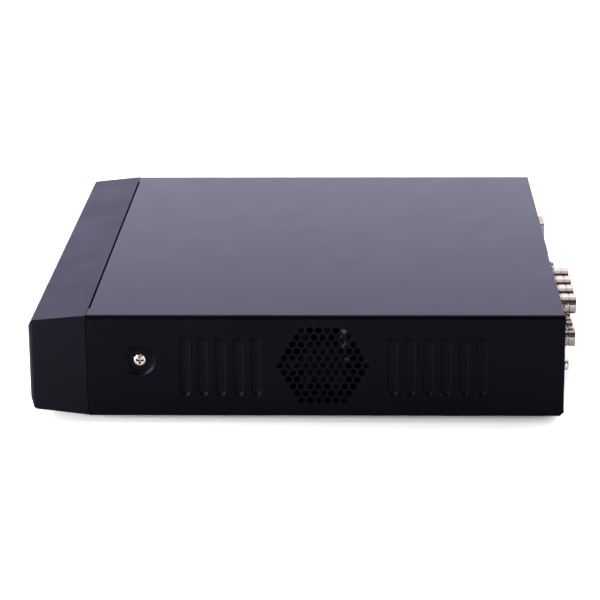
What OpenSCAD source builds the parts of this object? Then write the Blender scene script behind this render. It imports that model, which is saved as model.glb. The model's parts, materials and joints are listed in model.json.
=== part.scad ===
// Digital video recorder for security cameras: steel tray and cover, plastic bezel with keys,
// main board with its rear connectors, hard drive and side fan.
// X runs left to right seen from the front, Y front to back, Z up from the surface it stands on.

/* [Case] */
// Width of the case
body_w = 260; // [256:1:280]
// Height of the case without its feet
body_h = 47; // [46.5:0.5:52]
// Depth of the sheet metal cover
cover_d = 214.6; // [212.6:0.5:230.6]
// Depth of the plastic bezel
bezel_d = 26.4; // [26:0.1:28]
// Thickness of the sheet metal
sheet = 1; // [0.8:0.1:1]
// Height of the rubber feet
foot_h = 3.5; // [3:0.1:5]
// Reach of the camera sockets behind the cover
socket_reach = 10.4; // [10:0.1:12]

/* [Side walls] */
// Stamped slots ahead of the vent
slots_ahead = 5; // [1:1:5]
// Stamped slots behind the vent
slots_behind = 6; // [1:1:7]
// Distance between neighbouring slots
slot_pitch = 8; // [7:0.5:8]
// Width of a slot
slot_w = 4.8; // [4:0.1:5]
// Length of a slot
slot_len = 27; // [20:1:30]
// Depth of a slot
slot_depth = 0.8; // [0.4:0.1:0.9]
// Holes in the middle row of the vent
vent_middle = 11; // [5:2:11]
// Distance between neighbouring vent holes in a row
vent_pitch = 3.88; // [3.7:0.02:3.9]
// Distance between neighbouring rows of vent holes
vent_row_pitch = 3.3; // [3.2:0.05:3.4]
// Width of a vent hole across its flats
vent_hole = 2.9; // [2.4:0.1:3.2]

/* [Front keys] */
// How far a key travels
key_travel = 0.5; // [0.3:0.1:0.6]
// Gap around a key
key_gap = 0.35; // [0.3:0.05:0.4]
// Radius of the round group of arrow keys
arrow_r = 12.4; // [11:0.1:12.6]
// Radius of the middle key
ok_r = 5.4; // [4.5:0.1:5.6]

/* [Rear sockets] */
// Camera sockets in one row
camera_columns = 4; // [1:1:4]
// Distance between neighbouring camera sockets in a row
camera_pitch = 15; // [14.5:0.5:15]
// Distance between the two rows of camera sockets
camera_rows_apart = 16.2; // [15.8:0.1:16.4]

/* [Fan] */
// Width of the square fan
fan_w = 40; // [40:1:40]
// Number of blades
fan_blades = 7; // [5:1:9]
// Number of struts that carry the motor
fan_struts = 5; // [3:1:6]

/* [Hidden] */
$fn = 48;

// Places that several pieces share
depth = bezel_d + cover_d + socket_reach;
y_front = -depth / 2;
y_seam = y_front + bezel_d;
y_rear = y_seam + cover_d;
y_tip = depth / 2;
roof_short = 0.4;
y_panel = y_rear - roof_short - sheet;
z_base = foot_h;
z_top = foot_h + body_h;
z_floor = z_base + sheet;
half_w = body_w / 2;
eps = 0.01;

// Tray
tray_x = half_w - sheet - 1.2;
tray_flange_h = 10;
tray_wall_h = body_h - 6;
tray_post_w = 12;
ear_w = 24;
ear_h = 34;
fan_wall_w = 48;
thread_r = 1.5;
hook_x = [-95, -35, 95];
hook_z = [z_base + 6, z_base + body_h - 11];
hook_w = 12;

// Side wall stampings
cover_edge_r = 1.3;
cover_lip_h = 4;
z_join = z_top - cover_lip_h;
dimple_depth = 1.1;
dimple_r = 6.8;
dimple_slope = 0.9;
screw_y = y_seam + 23.9;
screw_z = z_base + 26.2;
slots_ahead_y = y_seam + 43.8;
slots_behind_y = y_seam + 137.1;
slot_z = z_base + 23;
vent_y = y_seam + 106.3;
vent_z = z_base + 23.8;
rear_lap_w = 14;
rear_screw_x = half_w - 8;
rear_screw_z = z_base + 22;
tab_x = 33;
tab_w = 16;
tab_h = 8.2;
tab_screw_z = z_base + 42.4;

// Screws
screw_head_r = 2.75;
screw_head_h = 1.9;
screw_shank_r = 1.45;
screw_shank_len = 5;
screw_hole_r = 1.8;

// Bezel
bezel_wall = 2.2;
bezel_front_wall = 3.4;
y_brow = y_front + 1.8;
brow_drop = 2.4;
chin_rise = 2.7;
face_top = z_top - 5.5;
face_bottom = z_base + 7.2;
face_side = 3.5;
face_z = (face_top + face_bottom) / 2;
recess_w = 236;
recess_h = 27.6;
recess_depth = 1.2;
y_recess = y_front + recess_depth;
window_x = -62;
window_w = 104;
window_h = 24;
guide_x = [-100, -88, -76];
guide_r = 1.5;
arrow_x = 70;
arrow_reach = 9;
round_key_x = [8, 24, 40];
round_key_w = 11;
round_key_h = 6;
front_usb_x = 102;
key_face_y = y_front + 0.2;
key_lip = 0.7;
key_lip_t = 1;
key_stem_r = 1.6;
y_key_lip = y_front + bezel_front_wall + 0.3;

// Front board
y_front_board = -111.3;
front_board_t = 1.6;
led_h = 1.2;
switch_w = 6;
switch_body_t = 3.5;
plunger_t = 1.5;
y_plunger = y_front_board - switch_body_t - plunger_t;
boss_x = 112;
boss_r = 3;
boss_z = [face_bottom + 5, face_top - 5];

// Main board
board_x = [-120, 84];
board_y = [14, 111.4];
board_t = 1.6;
z_board = z_floor + 5;
z_board_top = z_board + board_t;
board_holes = [[-115, 19], [79, 19], [-20, 62], [-115, 92], [79, 92]];
standoff_r = 3;

// Rear sockets
y_block = y_panel - sheet - 0.6;
y_jacks = 98;
shell_t = 0.4;
hole_gap = 0.2;
camera_collar_r = 6;
camera_x0 = 15;
camera_z0 = z_base + body_h / 2 - camera_rows_apart / 2;
barrel_r = 4.8;
audio_x = [-2, -15];
audio_z = 18;
audio_r = 4.15;
audio_collar_r = 5.3;
rear_usb_x = -34;
usb_w = 13.1;
usb_h = 5.7;
usb_d = 14;
rear_usb_z = z_board_top + 3.2;
lan_x = -57;
lan_w = 16;
lan_h = 13.5;
monitor_x = -86;
monitor_z = z_base + 30;
monitor_nut_pitch = 25;
monitor_nut_w = 5;
hdmi_z = z_board_top + 3;
hdmi_d = 11.4;
inlet_x = 75;
inlet_z = z_board_top + 6.4;
inlet_r = 4.1;
inlet_d = 9.6;
switch_x = 97;
switch_z = 27;
switch_case_w = 19;
switch_case_h = 12.6;
rocker_y = y_panel - 2.2;
rocker_tilt = 8;

// Fan
fan_t = 10;
fan_x = tray_x - sheet - fan_t;
fan_bore_r = 19;
fan_hole_at = 16;
hub_r = 9.8;
shaft_r = 1;
fan_lead_at = 13;
strut_turn = 68;

// Hard drive
drive_x = [-120, 27];
drive_w = 101.6;
drive_y = [-95, -95 + drive_w];
drive_mid_y = (drive_y[0] + drive_y[1]) / 2;
drive_z = 7;
drive_h = 26.1;
drive_lid_t = 1.2;
z_drive_lid = drive_z + drive_h - drive_lid_t;
drive_hub_x = drive_x[0] + 53;
drive_hole_x = [-102, -57.6];
drive_hole_y = [drive_y[0] + 3.2, drive_y[1] - 3.2];
drive_foot_r = 5;
drive_screw_gap_r = 1.9;
plug_d = 8;

// ---- Shared shapes ----

// A flat outline in X and Z, thickened towards +Y from y0
module plate_y(y0, t) {
    translate([0, y0 + t, 0]) rotate([90, 0, 0]) linear_extrude(t) children();
}

// A flat outline in Y and Z, thickened towards +X from x0
module plate_x(x0, t) {
    translate([x0, 0, 0]) rotate([90, 0, 90]) linear_extrude(t) children();
}

// A round rod along Y
module rod_y(x, y0, z, r, length) {
    translate([x, y0, z]) rotate([-90, 0, 0]) cylinder(h = length, r = r);
}

// A round rod along X
module rod_x(x0, y, z, r, length) {
    translate([x0, y, z]) rotate([0, 90, 0]) cylinder(h = length, r = r);
}

// A box from its lowest corner to its highest
module block(low, high) {
    translate(low) cube(high - low);
}

// A rectangle about a centre with round corners
module rounded(x, y, w, h, r) {
    translate([x, y]) {
        square([w - 2 * r, h], center = true);
        square([w, h - 2 * r], center = true);
        for (sx = [-1, 1])
            for (sy = [-1, 1])
                translate([sx * (w / 2 - r), sy * (h / 2 - r)]) circle(r);
    }
}

// A pan head screw: the head stands on z = 0 and the shank goes down
module pan_screw(head_r, head_h, shank_r, shank_len) {
    dome_r = (head_r * head_r + head_h * head_h) / (2 * head_h) + 0.6;
    cross_len = head_r * 1.1;
    cross_w = head_r * 0.24;
    difference() {
        intersection() {
            cylinder(h = head_h, r = head_r);
            translate([0, 0, head_h - dome_r]) sphere(dome_r, $fn = 64);
        }
        for (turn = [0, 90])
            rotate(turn) translate([-cross_len / 2, -cross_w / 2, head_h * 0.45])
                cube([cross_len, cross_w, head_h]);
    }
    translate([0, 0, -shank_len]) cylinder(h = shank_len + eps, r = shank_r);
}

// Points of a smooth curve through hand-set points
function curve_point(p, q, r, s, t) =
    0.5 * (2 * q + (r - p) * t + (2 * p - 5 * q + 4 * r - s) * t * t
        + (3 * q - p - 3 * r + s) * t * t * t);
function smooth(points, steps) = let (last = len(points) - 1) concat(
    [for (i = [0:last - 1]) for (k = [0:steps - 1])
        curve_point(points[max(i - 1, 0)], points[i], points[i + 1],
            points[min(i + 2, last)], k / steps)],
    [points[last]]);
function heading(path, i) = let (
    step = path[min(i + 1, len(path) - 1)] - path[max(i - 1, 0)]) step / norm(step);

// A round lead swept along a path
module lead(path, r, sides, aside) {
    count = len(path);
    points = [for (i = [0:count - 1]) let (
        ahead = heading(path, i),
        across = cross(aside, ahead) / norm(cross(aside, ahead)),
        up = cross(ahead, across))
        for (k = [0:sides - 1])
            path[i] + r * (cos(360 * k / sides) * across + sin(360 * k / sides) * up)];
    walls = [for (i = [0:count - 2]) for (k = [0:sides - 1])
        [(i + 1) * sides + k, (i + 1) * sides + (k + 1) % sides, i * sides + (k + 1) % sides,
            i * sides + k]];
    first = [for (k = [0:sides - 1]) k];
    end = [for (k = [sides - 1:-1:0]) (count - 1) * sides + k];
    polyhedron(points, concat([first], walls, [end]));
}

// Outline of a flat strip that follows a path in its own plane
module strip(path, t) {
    function side(i) = let (ahead = heading(path, i)) [-ahead[1], ahead[0]] * t / 2;
    count = len(path);
    polygon(concat(
        [for (i = [0:count - 1]) path[i] + side(i)],
        [for (i = [count - 1:-1:0]) path[i] - side(i)]));
}

// ---- Case ----

// One side wall of the tray, as an outline in Y and Z
module tray_side(with_fan) {
    y0 = y_seam;
    difference() {
        union() {
            translate([y0, z_base]) square([y_panel - y0, tray_flange_h]);
            translate([screw_y - ear_w / 2, z_base]) square([ear_w, ear_h]);
            translate([y0, z_base]) square([tray_post_w, tray_wall_h]);
            translate([y_panel - tray_post_w, z_base]) square([tray_post_w, tray_wall_h]);
            if (with_fan)
                translate([vent_y - fan_wall_w / 2, z_base]) square([fan_wall_w, body_h - sheet - 1]);
        }
        translate([screw_y, screw_z]) circle(thread_r);
        if (with_fan) {
            translate([vent_y, vent_z]) circle(fan_bore_r + 0.6);
            for (sy = [-1, 1])
                for (sz = [-1, 1])
                    translate([vent_y + sy * fan_hole_at, vent_z + sz * fan_hole_at])
                        circle(thread_r);
        }
    }
}

// Openings in the rear wall, as an outline in X and Z
module rear_openings() {
    for (column = [0:camera_columns - 1])
        for (row = [0, 1])
            translate([camera_x0 + column * camera_pitch, camera_z0 + row * camera_rows_apart])
                circle(camera_collar_r + hole_gap);
    for (x = audio_x)
        translate([x, audio_z]) circle(audio_collar_r + hole_gap);
    rounded(rear_usb_x, rear_usb_z, usb_w + 3 * hole_gap, usb_h + 3 * hole_gap, 0.4);
    rounded(lan_x, z_board_top + lan_h / 2, lan_w + 3 * hole_gap, lan_h + 3 * hole_gap, 0.4);
    monitor_outline(0.5);
    for (side = [-1, 1])
        translate([monitor_x + side * monitor_nut_pitch / 2, monitor_z]) circle(3);
    hdmi_outline(0.4);
    translate([inlet_x, inlet_z]) circle(inlet_r + hole_gap);
    rounded(switch_x, switch_z, switch_case_w + 2 * hole_gap, switch_case_h + 2 * hole_gap, 0.5);
    for (side = [-1, 1])
        translate([side * rear_screw_x, rear_screw_z]) circle(thread_r);
    translate([tab_x, tab_screw_z]) circle(thread_r);
}

module chassis_tray() {
    floor_slot = [3, 24];
    floor_slot_pitch = [6, 34];
    floor_slots_at = [48, -60];
    floor_slot_count = 10;
    through = 4;
    color([0.10, 0.10, 0.11]) {
        difference() {
            block([-tray_x, y_seam, z_base], [tray_x, y_panel, z_floor]);
            for (x = drive_hole_x)
                for (y = drive_hole_y)
                    translate([x, y, z_base - 1]) cylinder(h = through, r = drive_screw_gap_r);
            for (row = [0, 1])
                for (k = [0:floor_slot_count - 1])
                    translate([floor_slots_at[0] + k * floor_slot_pitch[0],
                        floor_slots_at[1] + row * floor_slot_pitch[1], z_base - 1])
                        linear_extrude(through) rounded(0, 0, floor_slot[0], floor_slot[1], 1.4);
            for (hole = board_holes)
                translate([hole[0], hole[1], z_base - 1]) cylinder(h = through, r = thread_r);
        }
        plate_y(y_seam, sheet) difference() {
            translate([-tray_x, z_base]) square([2 * tray_x, tray_wall_h]);
            rounded(front_usb_x, face_z, 20, 14, 2);
            rounded(50, face_z, 44, 22, 2);
            for (x = hook_x)
                for (z = hook_z)
                    rounded(x, z, hook_w + 1, 3.4, 0.4);
        }
        plate_y(y_panel - sheet, sheet) difference() {
            translate([-tray_x, z_base]) square([2 * tray_x, body_h - sheet - 0.2]);
            rear_openings();
        }
        plate_x(tray_x - sheet, sheet) tray_side(true);
        plate_x(-tray_x, sheet) tray_side(false);
        for (hole = board_holes)
            translate([hole[0], hole[1], z_base]) difference() {
                cylinder(h = z_board - z_base, r = standoff_r);
                translate([0, 0, -1]) cylinder(h = z_board - z_base + 2, r = thread_r);
            }
        for (x = drive_hole_x)
            for (y = drive_hole_y)
                translate([x, y, z_base]) difference() {
                    cylinder(h = drive_z - z_base, r = drive_foot_r);
                    translate([0, 0, -1]) cylinder(h = drive_z, r = drive_screw_gap_r);
                }
    }
}

// Honeycomb of vent holes, as an outline in Y and Z
module vent_holes() {
    half = (vent_middle - 1) / 2;
    for (row = [-half:half]) {
        count = vent_middle - abs(row);
        for (k = [0:count - 1])
            translate([vent_y + (k - (count - 1) / 2) * vent_pitch,
                vent_z + row * vent_row_pitch])
                rotate(30) circle(r = vent_hole / (2 * cos(30)), $fn = 6);
    }
}

// Centres of the stamped slots along Y
function slot_places() = concat(
    [for (k = [0:slots_ahead - 1]) slots_ahead_y + k * slot_pitch],
    [for (k = [0:slots_behind - 1]) slots_behind_y + k * slot_pitch]);

// One side wall of the cover with its stampings, standing at +X
module cover_side() {
    corner = 1.8;
    inner = half_w - sheet;
    difference() {
        union() {
            plate_x(inner, sheet) difference() {
                polygon([[y_seam, z_base], [y_rear - corner, z_base], [y_rear, z_base + corner],
                    [y_rear, z_join], [y_seam, z_join]]);
                vent_holes();
            }
            for (y = slot_places())
                plate_x(inner - slot_depth, slot_depth + eps)
                    rounded(y, slot_z, slot_w + 1, slot_len + 1, slot_w / 2);
            translate([inner - dimple_depth, screw_y, screw_z]) rotate([0, 90, 0])
                cylinder(h = dimple_depth + eps, r1 = dimple_r - 0.2, r2 = dimple_r + dimple_slope);
        }
        for (y = slot_places())
            plate_x(half_w - slot_depth, 1) rounded(y, slot_z, slot_w, slot_len, slot_w / 2 - 0.2);
        translate([half_w - dimple_depth, screw_y, screw_z]) rotate([0, 90, 0])
            cylinder(h = dimple_depth + eps, r1 = dimple_r - dimple_slope, r2 = dimple_r);
        rod_x(half_w - 4, screw_y, screw_z, screw_hole_r, 5);
    }
    difference() {
        block([half_w - rear_lap_w, y_rear - sheet, z_base + 2],
            [half_w - sheet + eps, y_rear, z_join]);
        rod_y(rear_screw_x, y_rear - 3, rear_screw_z, screw_hole_r, 5);
    }
}

module top_cover() {
    gap_w = 0.9;
    gap_half = half_w - 12;
    color([0.13, 0.13, 0.15]) {
        difference() {
            plate_y(y_seam, cover_d - roof_short) difference() {
                union() {
                    translate([-half_w, z_join]) square([body_w, cover_lip_h - cover_edge_r]);
                    translate([-half_w + cover_edge_r, z_join])
                        square([body_w - 2 * cover_edge_r, cover_lip_h]);
                    for (side = [-1, 1])
                        translate([side * (half_w - cover_edge_r), z_top - cover_edge_r])
                            circle(cover_edge_r);
                }
                translate([-half_w + sheet, z_join - 1])
                    square([body_w - 2 * sheet, cover_lip_h + 1 - sheet]);
            }
            translate([0, 0, z_top - 3]) linear_extrude(4)
                polygon([[-gap_half - gap_w, y_seam - 1], [-gap_half, y_seam + gap_w],
                    [gap_half, y_seam + gap_w], [gap_half + gap_w, y_seam - 1]]);
        }
        cover_side();
        mirror([1, 0, 0]) cover_side();
        plate_y(y_panel, sheet) difference() {
            translate([tab_x - tab_w / 2, z_top - tab_h]) square([tab_w, tab_h - sheet / 2]);
            translate([tab_x, tab_screw_z]) circle(screw_hole_r);
        }
    }
}

module cover_side_screws() {
    color([0.75, 0.74, 0.72])
        for (side = [-1, 1])
            translate([side * (half_w - dimple_depth), screw_y, screw_z])
                rotate([0, side * 90, 0])
                    pan_screw(screw_head_r, screw_head_h - 0.9, screw_shank_r, screw_shank_len);
}

module cover_rear_screws() {
    color([0.75, 0.74, 0.72]) {
        for (side = [-1, 1])
            translate([side * rear_screw_x, y_rear, rear_screw_z]) rotate([-90, 0, 0])
                pan_screw(screw_head_r, screw_head_h + 0.4, screw_shank_r, screw_shank_len);
        translate([tab_x, y_rear - roof_short, tab_screw_z]) rotate([-90, 0, 0])
            pan_screw(screw_head_r, screw_head_h + 0.4, screw_shank_r, screw_shank_len);
    }
}

module rubber_feet() {
    color([0.06, 0.06, 0.06])
        for (x = [-104, 104])
            for (y = [-76, 92])
                translate([x, y, 0]) cylinder(h = foot_h, r1 = 7, r2 = 7.8);
}

// ---- Front ----

// The bezel's solid form, drawn in by a wall thickness to make its hollow
module bezel_form(wall, front_wall, tail) {
    x_rear = half_w - wall;
    x_brow = half_w - 0.6 - wall;
    x_face = half_w - face_side - wall * 0.6;
    intersection() {
        plate_x(-half_w - 1, body_w + 2)
            polygon([[y_seam + tail, z_base + wall], [y_seam + tail, z_top - wall],
                [y_brow + wall, z_top - brow_drop - wall], [y_front + front_wall, face_top - wall * 0.6],
                [y_front + front_wall, face_bottom + wall * 0.6],
                [y_brow + wall, z_base + chin_rise + wall]]);
        linear_extrude(z_top + 1)
            polygon([[x_rear, y_seam + tail], [x_brow, y_brow + wall], [x_face, y_front + front_wall],
                [-x_face, y_front + front_wall], [-x_brow, y_brow + wall],
                [-x_rear, y_seam + tail]]);
    }
}

module front_bezel() {
    color([0.12, 0.12, 0.135]) {
        difference() {
            bezel_form(0, 0, 0);
            bezel_form(bezel_wall, bezel_front_wall, 1);
            plate_y(y_front - 1, 1 + recess_depth) rounded(0, face_z, recess_w, recess_h, 2.5);
            plate_y(y_front, 8) {
                translate([arrow_x, face_z]) circle(arrow_r + key_gap);
                for (x = round_key_x)
                    rounded(x, face_z, round_key_w + 2 * key_gap, round_key_h + 2 * key_gap, 1.8);
                rounded(front_usb_x, face_z, usb_w + 3 * hole_gap, usb_h + 3 * hole_gap, 0.4);
                for (x = guide_x)
                    translate([x, face_z]) circle(guide_r + 0.1);
            }
        }
        for (side = [-1, 1])
            for (z = boss_z)
                translate([side * boss_x, y_front_board, z]) rotate([90, 0, 0]) difference() {
                    cylinder(h = y_front_board - y_front - bezel_front_wall + eps, r = boss_r);
                    translate([0, 0, -1]) cylinder(h = 8, r = 1.1);
                }
        for (x = hook_x)
            for (z = hook_z)
                bezel_hook(x, z);
    }
}

// A snap hook that goes through the tray's front wall, carried on a leg from the nearest rim
module bezel_hook(x, z) {
    up = z > face_z ? 1 : -1;
    rim_z = up > 0 ? z_top - 1 : z_base + 1;
    barb_z = z + up * 1.6;
    x0 = x - hook_w / 2;
    x1 = x + hook_w / 2;
    block([x0, y_seam - 6, z - 1], [x1, y_seam + 4.2, z + 1]);
    block([x0, y_seam + 1.3, min(z, barb_z)], [x1, y_seam + 3, max(z, barb_z)]);
    block([x0, y_seam - 6, min(z, rim_z)], [x1, y_seam - 2, max(z, rim_z)]);
}

module fascia_window() {
    color([0.05, 0.05, 0.06, 0.9])
        plate_y(y_front + 0.2, recess_depth - 0.2)
            rounded(window_x, face_z, window_w, window_h, 1.5);
}

module light_guides() {
    color([0.85, 0.88, 0.9])
        for (x = guide_x)
            rod_y(x, y_recess, face_z, guide_r, y_front_board - led_h - 0.1 - y_recess);
}

module status_leds() {
    color([0.9, 0.9, 0.85])
        for (x = guide_x)
            block([x - 1.6, y_front_board - led_h, face_z - 0.8],
                [x + 1.6, y_front_board, face_z + 0.8]);
}

// A quarter of a ring about the middle key, the outline of an arrow key; turn 0 points up
module arrow_outline(turn, outer_r, inner_r) {
    apart = 0.5;
    span = 20;
    translate([arrow_x, face_z]) rotate(turn) intersection() {
        difference() {
            circle(outer_r);
            circle(inner_r);
        }
        polygon([[0, apart], [span, span + apart], [-span, span + apart]]);
    }
}

// A key: its cap, the lip that keeps it in, and the stem over its switch
module key(stem_x, stem_z) {
    plate_y(key_face_y, y_key_lip - key_face_y + eps) children(0);
    plate_y(y_key_lip, key_lip_t) children(1);
    rod_y(stem_x, y_key_lip, stem_z, key_stem_r, y_plunger - key_travel - 0.3 - y_key_lip);
}

module arrow_key(turn) {
    color([0.2, 0.2, 0.22])
        key(arrow_x - arrow_reach * sin(turn), face_z + arrow_reach * cos(turn)) {
            arrow_outline(turn, arrow_r, ok_r + 0.5);
            arrow_outline(turn, arrow_r + key_lip + 0.2, ok_r + key_lip + 0.6);
        }
}

module key_up() { arrow_key(0); }
module key_left() { arrow_key(90); }
module key_down() { arrow_key(180); }
module key_right() { arrow_key(270); }

module key_ok() {
    color([0.2, 0.2, 0.22])
        key(arrow_x, face_z) {
            translate([arrow_x, face_z]) circle(ok_r);
            translate([arrow_x, face_z]) circle(ok_r + 0.4);
        }
}

module flat_key(x) {
    color([0.2, 0.2, 0.22])
        key(x, face_z) {
            rounded(x, face_z, round_key_w, round_key_h, 1.5);
            rounded(x, face_z, round_key_w + 2 * key_lip + 0.6, round_key_h + 2 * key_lip + 0.6, 1.5);
        }
}

module key_menu() { flat_key(round_key_x[0]); }
module key_record() { flat_key(round_key_x[1]); }
module key_play() { flat_key(round_key_x[2]); }

function switch_places() = concat(
    [for (turn = [0:90:270])
        [arrow_x - arrow_reach * sin(turn), face_z + arrow_reach * cos(turn)]],
    [[arrow_x, face_z]],
    [for (x = round_key_x) [x, face_z]]);

module key_switches() {
    color([0.15, 0.15, 0.15])
        for (place = switch_places()) {
            plate_y(y_front_board - switch_body_t, switch_body_t)
                translate(place) square(switch_w, center = true);
            rod_y(place[0], y_plunger, place[1], 1.7, plunger_t + eps);
        }
}

module front_board() {
    color([0.05, 0.3, 0.14])
        plate_y(y_front_board, front_board_t) difference() {
            rounded(0, face_z, 238, 29, 1);
            for (side = [-1, 1])
                for (z = boss_z)
                    translate([side * boss_x, z]) circle(1.4);
        }
}

module front_board_screws() {
    color([0.7, 0.7, 0.7])
        for (side = [-1, 1])
            for (z = boss_z)
                translate([side * boss_x, y_front_board + front_board_t, z]) rotate([-90, 0, 0])
                    pan_screw(2.2, 1.5, 1.05, 6);
}

// Flat ribbon from the front board, under the wall's window and over the floor to the main board
module front_ribbon() {
    route = smooth([[y_front_board + front_board_t + 0.4, 24], [-104, 24], [-96, 22], [-90, 12],
        [-80, 5.6], [-40, 5.6], [0, 5.6], [8, 8], [11, 18], [16, 24], [21, 22], [21.5, 14]], 4);
    color([0.85, 0.85, 0.82])
        plate_x(36, 26) strip(route, 0.7);
}

module usb_shell(x, y0, z) {
    plate_y(y0, usb_d) difference() {
        rounded(x, z, usb_w, usb_h, 0.5);
        rounded(x, z, usb_w - 2 * shell_t, usb_h - 2 * shell_t, 0.3);
    }
}

// The front socket opens forwards, the rear one backwards
module usb_shells() {
    color([0.75, 0.75, 0.77]) {
        usb_shell(front_usb_x, y_front_board - usb_d, face_z);
        usb_shell(rear_usb_x, y_panel + 0.8 - usb_d, rear_usb_z);
    }
}

module usb_tongue(x, z, y_back, y_tongue) {
    plate_y(min(y_back, y_back + y_tongue), abs(y_tongue))
        translate([x - 5.6, z + 0.3]) square([11.2, 1.8]);
    plate_y(min(y_back, y_back + sign(y_tongue) * 3), 3)
        rounded(x, z, usb_w - 0.9, usb_h - 0.9, 0.3);
}

module usb_tongues() {
    color([0.12, 0.12, 0.13]) {
        usb_tongue(front_usb_x, face_z, y_front_board - 0.2, -12.4);
        usb_tongue(rear_usb_x, rear_usb_z, y_panel + 1 - usb_d, 12.4);
    }
}

// ---- Main board ----

module main_board() {
    color([0.04, 0.28, 0.13])
        difference() {
            block([board_x[0], board_y[0], z_board], [board_x[1], board_y[1], z_board_top]);
            for (hole = board_holes)
                translate([hole[0], hole[1], z_board - 1]) cylinder(h = 4, r = 1.7);
        }
}

module board_screws() {
    color([0.75, 0.75, 0.75])
        for (hole = board_holes)
            translate([hole[0], hole[1], z_board_top]) pan_screw(2.75, 1.9, screw_shank_r, 6);
}

// Flat packages: centre, width, length and height
chips = [[-36, 40, 15, 10, 1.1], [-36, 54, 15, 10, 1.1], [30, 74, 14, 14, 1.5], [52, 74, 14, 14, 1.5],
    [-96, 50, 8, 6, 1.6], [0, 84, 7, 7, 1], [-60, 82, 12, 10, 1.4], [60, 50, 9, 9, 1.5]];
soc = [-4, 44];

module board_chips() {
    color([0.07, 0.07, 0.075]) {
        for (chip = chips)
            translate([chip[0] - chip[2] / 2, chip[1] - chip[3] / 2, z_board_top])
                cube([chip[2], chip[3], chip[4]]);
        translate([soc[0] - 13.5, soc[1] - 13.5, z_board_top]) cube([27, 27, 2]);
    }
}

module heatsink() {
    side = 38;
    fins = 9;
    fin_t = 1.2;
    color([0.55, 0.57, 0.6])
        translate([soc[0] - side / 2, soc[1] - side / 2, z_board_top + 2]) {
            cube([side, side, 3]);
            for (k = [0:fins - 1])
                translate([k * (side - fin_t) / (fins - 1), 0, 3 - eps]) cube([fin_t, side, 10]);
        }
}

// Electrolytic capacitors: centre, radius and height
capacitors = [[66, 90, 4, 12], [66, 80, 4, 12], [56, 92, 3.2, 11], [72, 66, 5, 16], [72, 54, 5, 16],
    [-70, 60, 3.2, 8], [-80, 60, 3.2, 8], [-104, 72, 4, 11]];

module board_capacitors() {
    color([0.12, 0.13, 0.2])
        for (part = capacitors)
            translate([part[0], part[1], z_board_top]) {
                cylinder(h = part[3], r = part[2]);
                cylinder(h = 1, r = part[2] + 0.2);
            }
}

cell_place = [-104, 30];

module clock_cell_holder() {
    color([0.1, 0.1, 0.1])
        translate([cell_place[0], cell_place[1], z_board_top]) difference() {
            cylinder(h = 4.6, r = 12);
            translate([0, 0, 1.2]) cylinder(h = 4, r = 10.2);
            translate([-3, -14, 1.2]) cube([6, 6, 5]);
        }
}

module clock_cell() {
    color([0.8, 0.8, 0.8])
        translate([cell_place[0], cell_place[1], z_board_top + 1.2]) {
            cylinder(h = 2.2, r = 8.6);
            translate([0, 0, 1]) cylinder(h = 2.2, r = 10);
        }
}

module buzzer() {
    color([0.06, 0.06, 0.06])
        translate([-78, 30, z_board_top]) difference() {
            cylinder(h = 8.5, r = 6);
            translate([0, 0, 7]) cylinder(h = 2, r = 1);
        }
}

// Board headers: centre, width, length and height
headers = [[49, 21.5, 30, 5, 7], [70, 30, 8, 6, 7], [22, 20, 17, 7, 8], [2, 20, 14, 7, 9]];

module board_headers() {
    color([0.93, 0.92, 0.88])
        for (part = headers)
            translate([part[0] - part[2] / 2, part[1] - part[3] / 2, z_board_top]) difference() {
                cube([part[2], part[3], part[4]]);
                translate([1, 1, 1.5]) cube([part[2] - 2, part[3] - 2, part[4]]);
            }
}

// ---- Rear sockets ----

module jack_blocks() {
    stack_x = monitor_x - 16;
    camera_x1 = camera_x0 + (camera_columns - 1) * camera_pitch;
    camera_z1 = camera_z0 + camera_rows_apart;
    color([0.08, 0.08, 0.085]) {
        block([camera_x0 - 7, y_jacks, z_board_top], [camera_x1 + 7, y_block, camera_z1 + 7]);
        block([audio_x[1] - 6, y_jacks + 2, z_board_top],
            [audio_x[0] + 6, y_block, z_board_top + 13]);
        difference() {
            block([stack_x, y_jacks, z_board_top], [stack_x + 32, y_block, monitor_z + 6.2]);
            block([monitor_x - 9, 90, z_board_top - 1], [monitor_x + 9, y_block + 1, z_board_top + 8]);
            plate_y(y_block - 5, 6) monitor_outline(0);
            for (side = [-1, 1])
                rod_y(monitor_x + side * monitor_nut_pitch / 2, y_block - 6, monitor_z, 1.5, 7);
        }
    }
}

// One row-and-column grid of camera sockets, each drawn along Y from the block's face
module camera_grid() {
    for (column = [0:camera_columns - 1])
        for (row = [0, 1])
            translate([camera_x0 + column * camera_pitch, y_block, camera_z0 + row * camera_rows_apart])
                rotate([-90, 0, 0]) children();
}

// Barrel with two grooves, a fixing collar and two bayonet lugs
module camera_socket_barrels() {
    length = y_tip - y_block;
    tip_ring = 3.2;
    lug_zone = 3.8;
    groove_w = 0.6;
    groove_depth = 0.3;
    collar = 2.1;
    groove_a = length - tip_ring;
    groove_b = groove_a - lug_zone;
    color([0.78, 0.76, 0.73])
        camera_grid() {
            difference() {
                rotate_extrude()
                    polygon([[0, 0], [camera_collar_r, 0], [camera_collar_r, collar],
                        [barrel_r, collar],
                        [barrel_r, groove_b - groove_w], [barrel_r - groove_depth, groove_b - groove_w],
                        [barrel_r - groove_depth, groove_b], [barrel_r, groove_b],
                        [barrel_r, groove_a - groove_w], [barrel_r - groove_depth, groove_a - groove_w],
                        [barrel_r - groove_depth, groove_a], [barrel_r, groove_a],
                        [barrel_r, length - 0.3], [barrel_r - 0.3, length], [0, length]]);
                translate([0, 0, 1]) cylinder(h = length, r = 4.1);
            }
            for (side = [-1, 1])
                translate([side * 4.3, 0, groove_a - 2]) rotate([0, side * 90, 0])
                    cylinder(h = 1.2, r = 1);
        }
}

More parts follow.
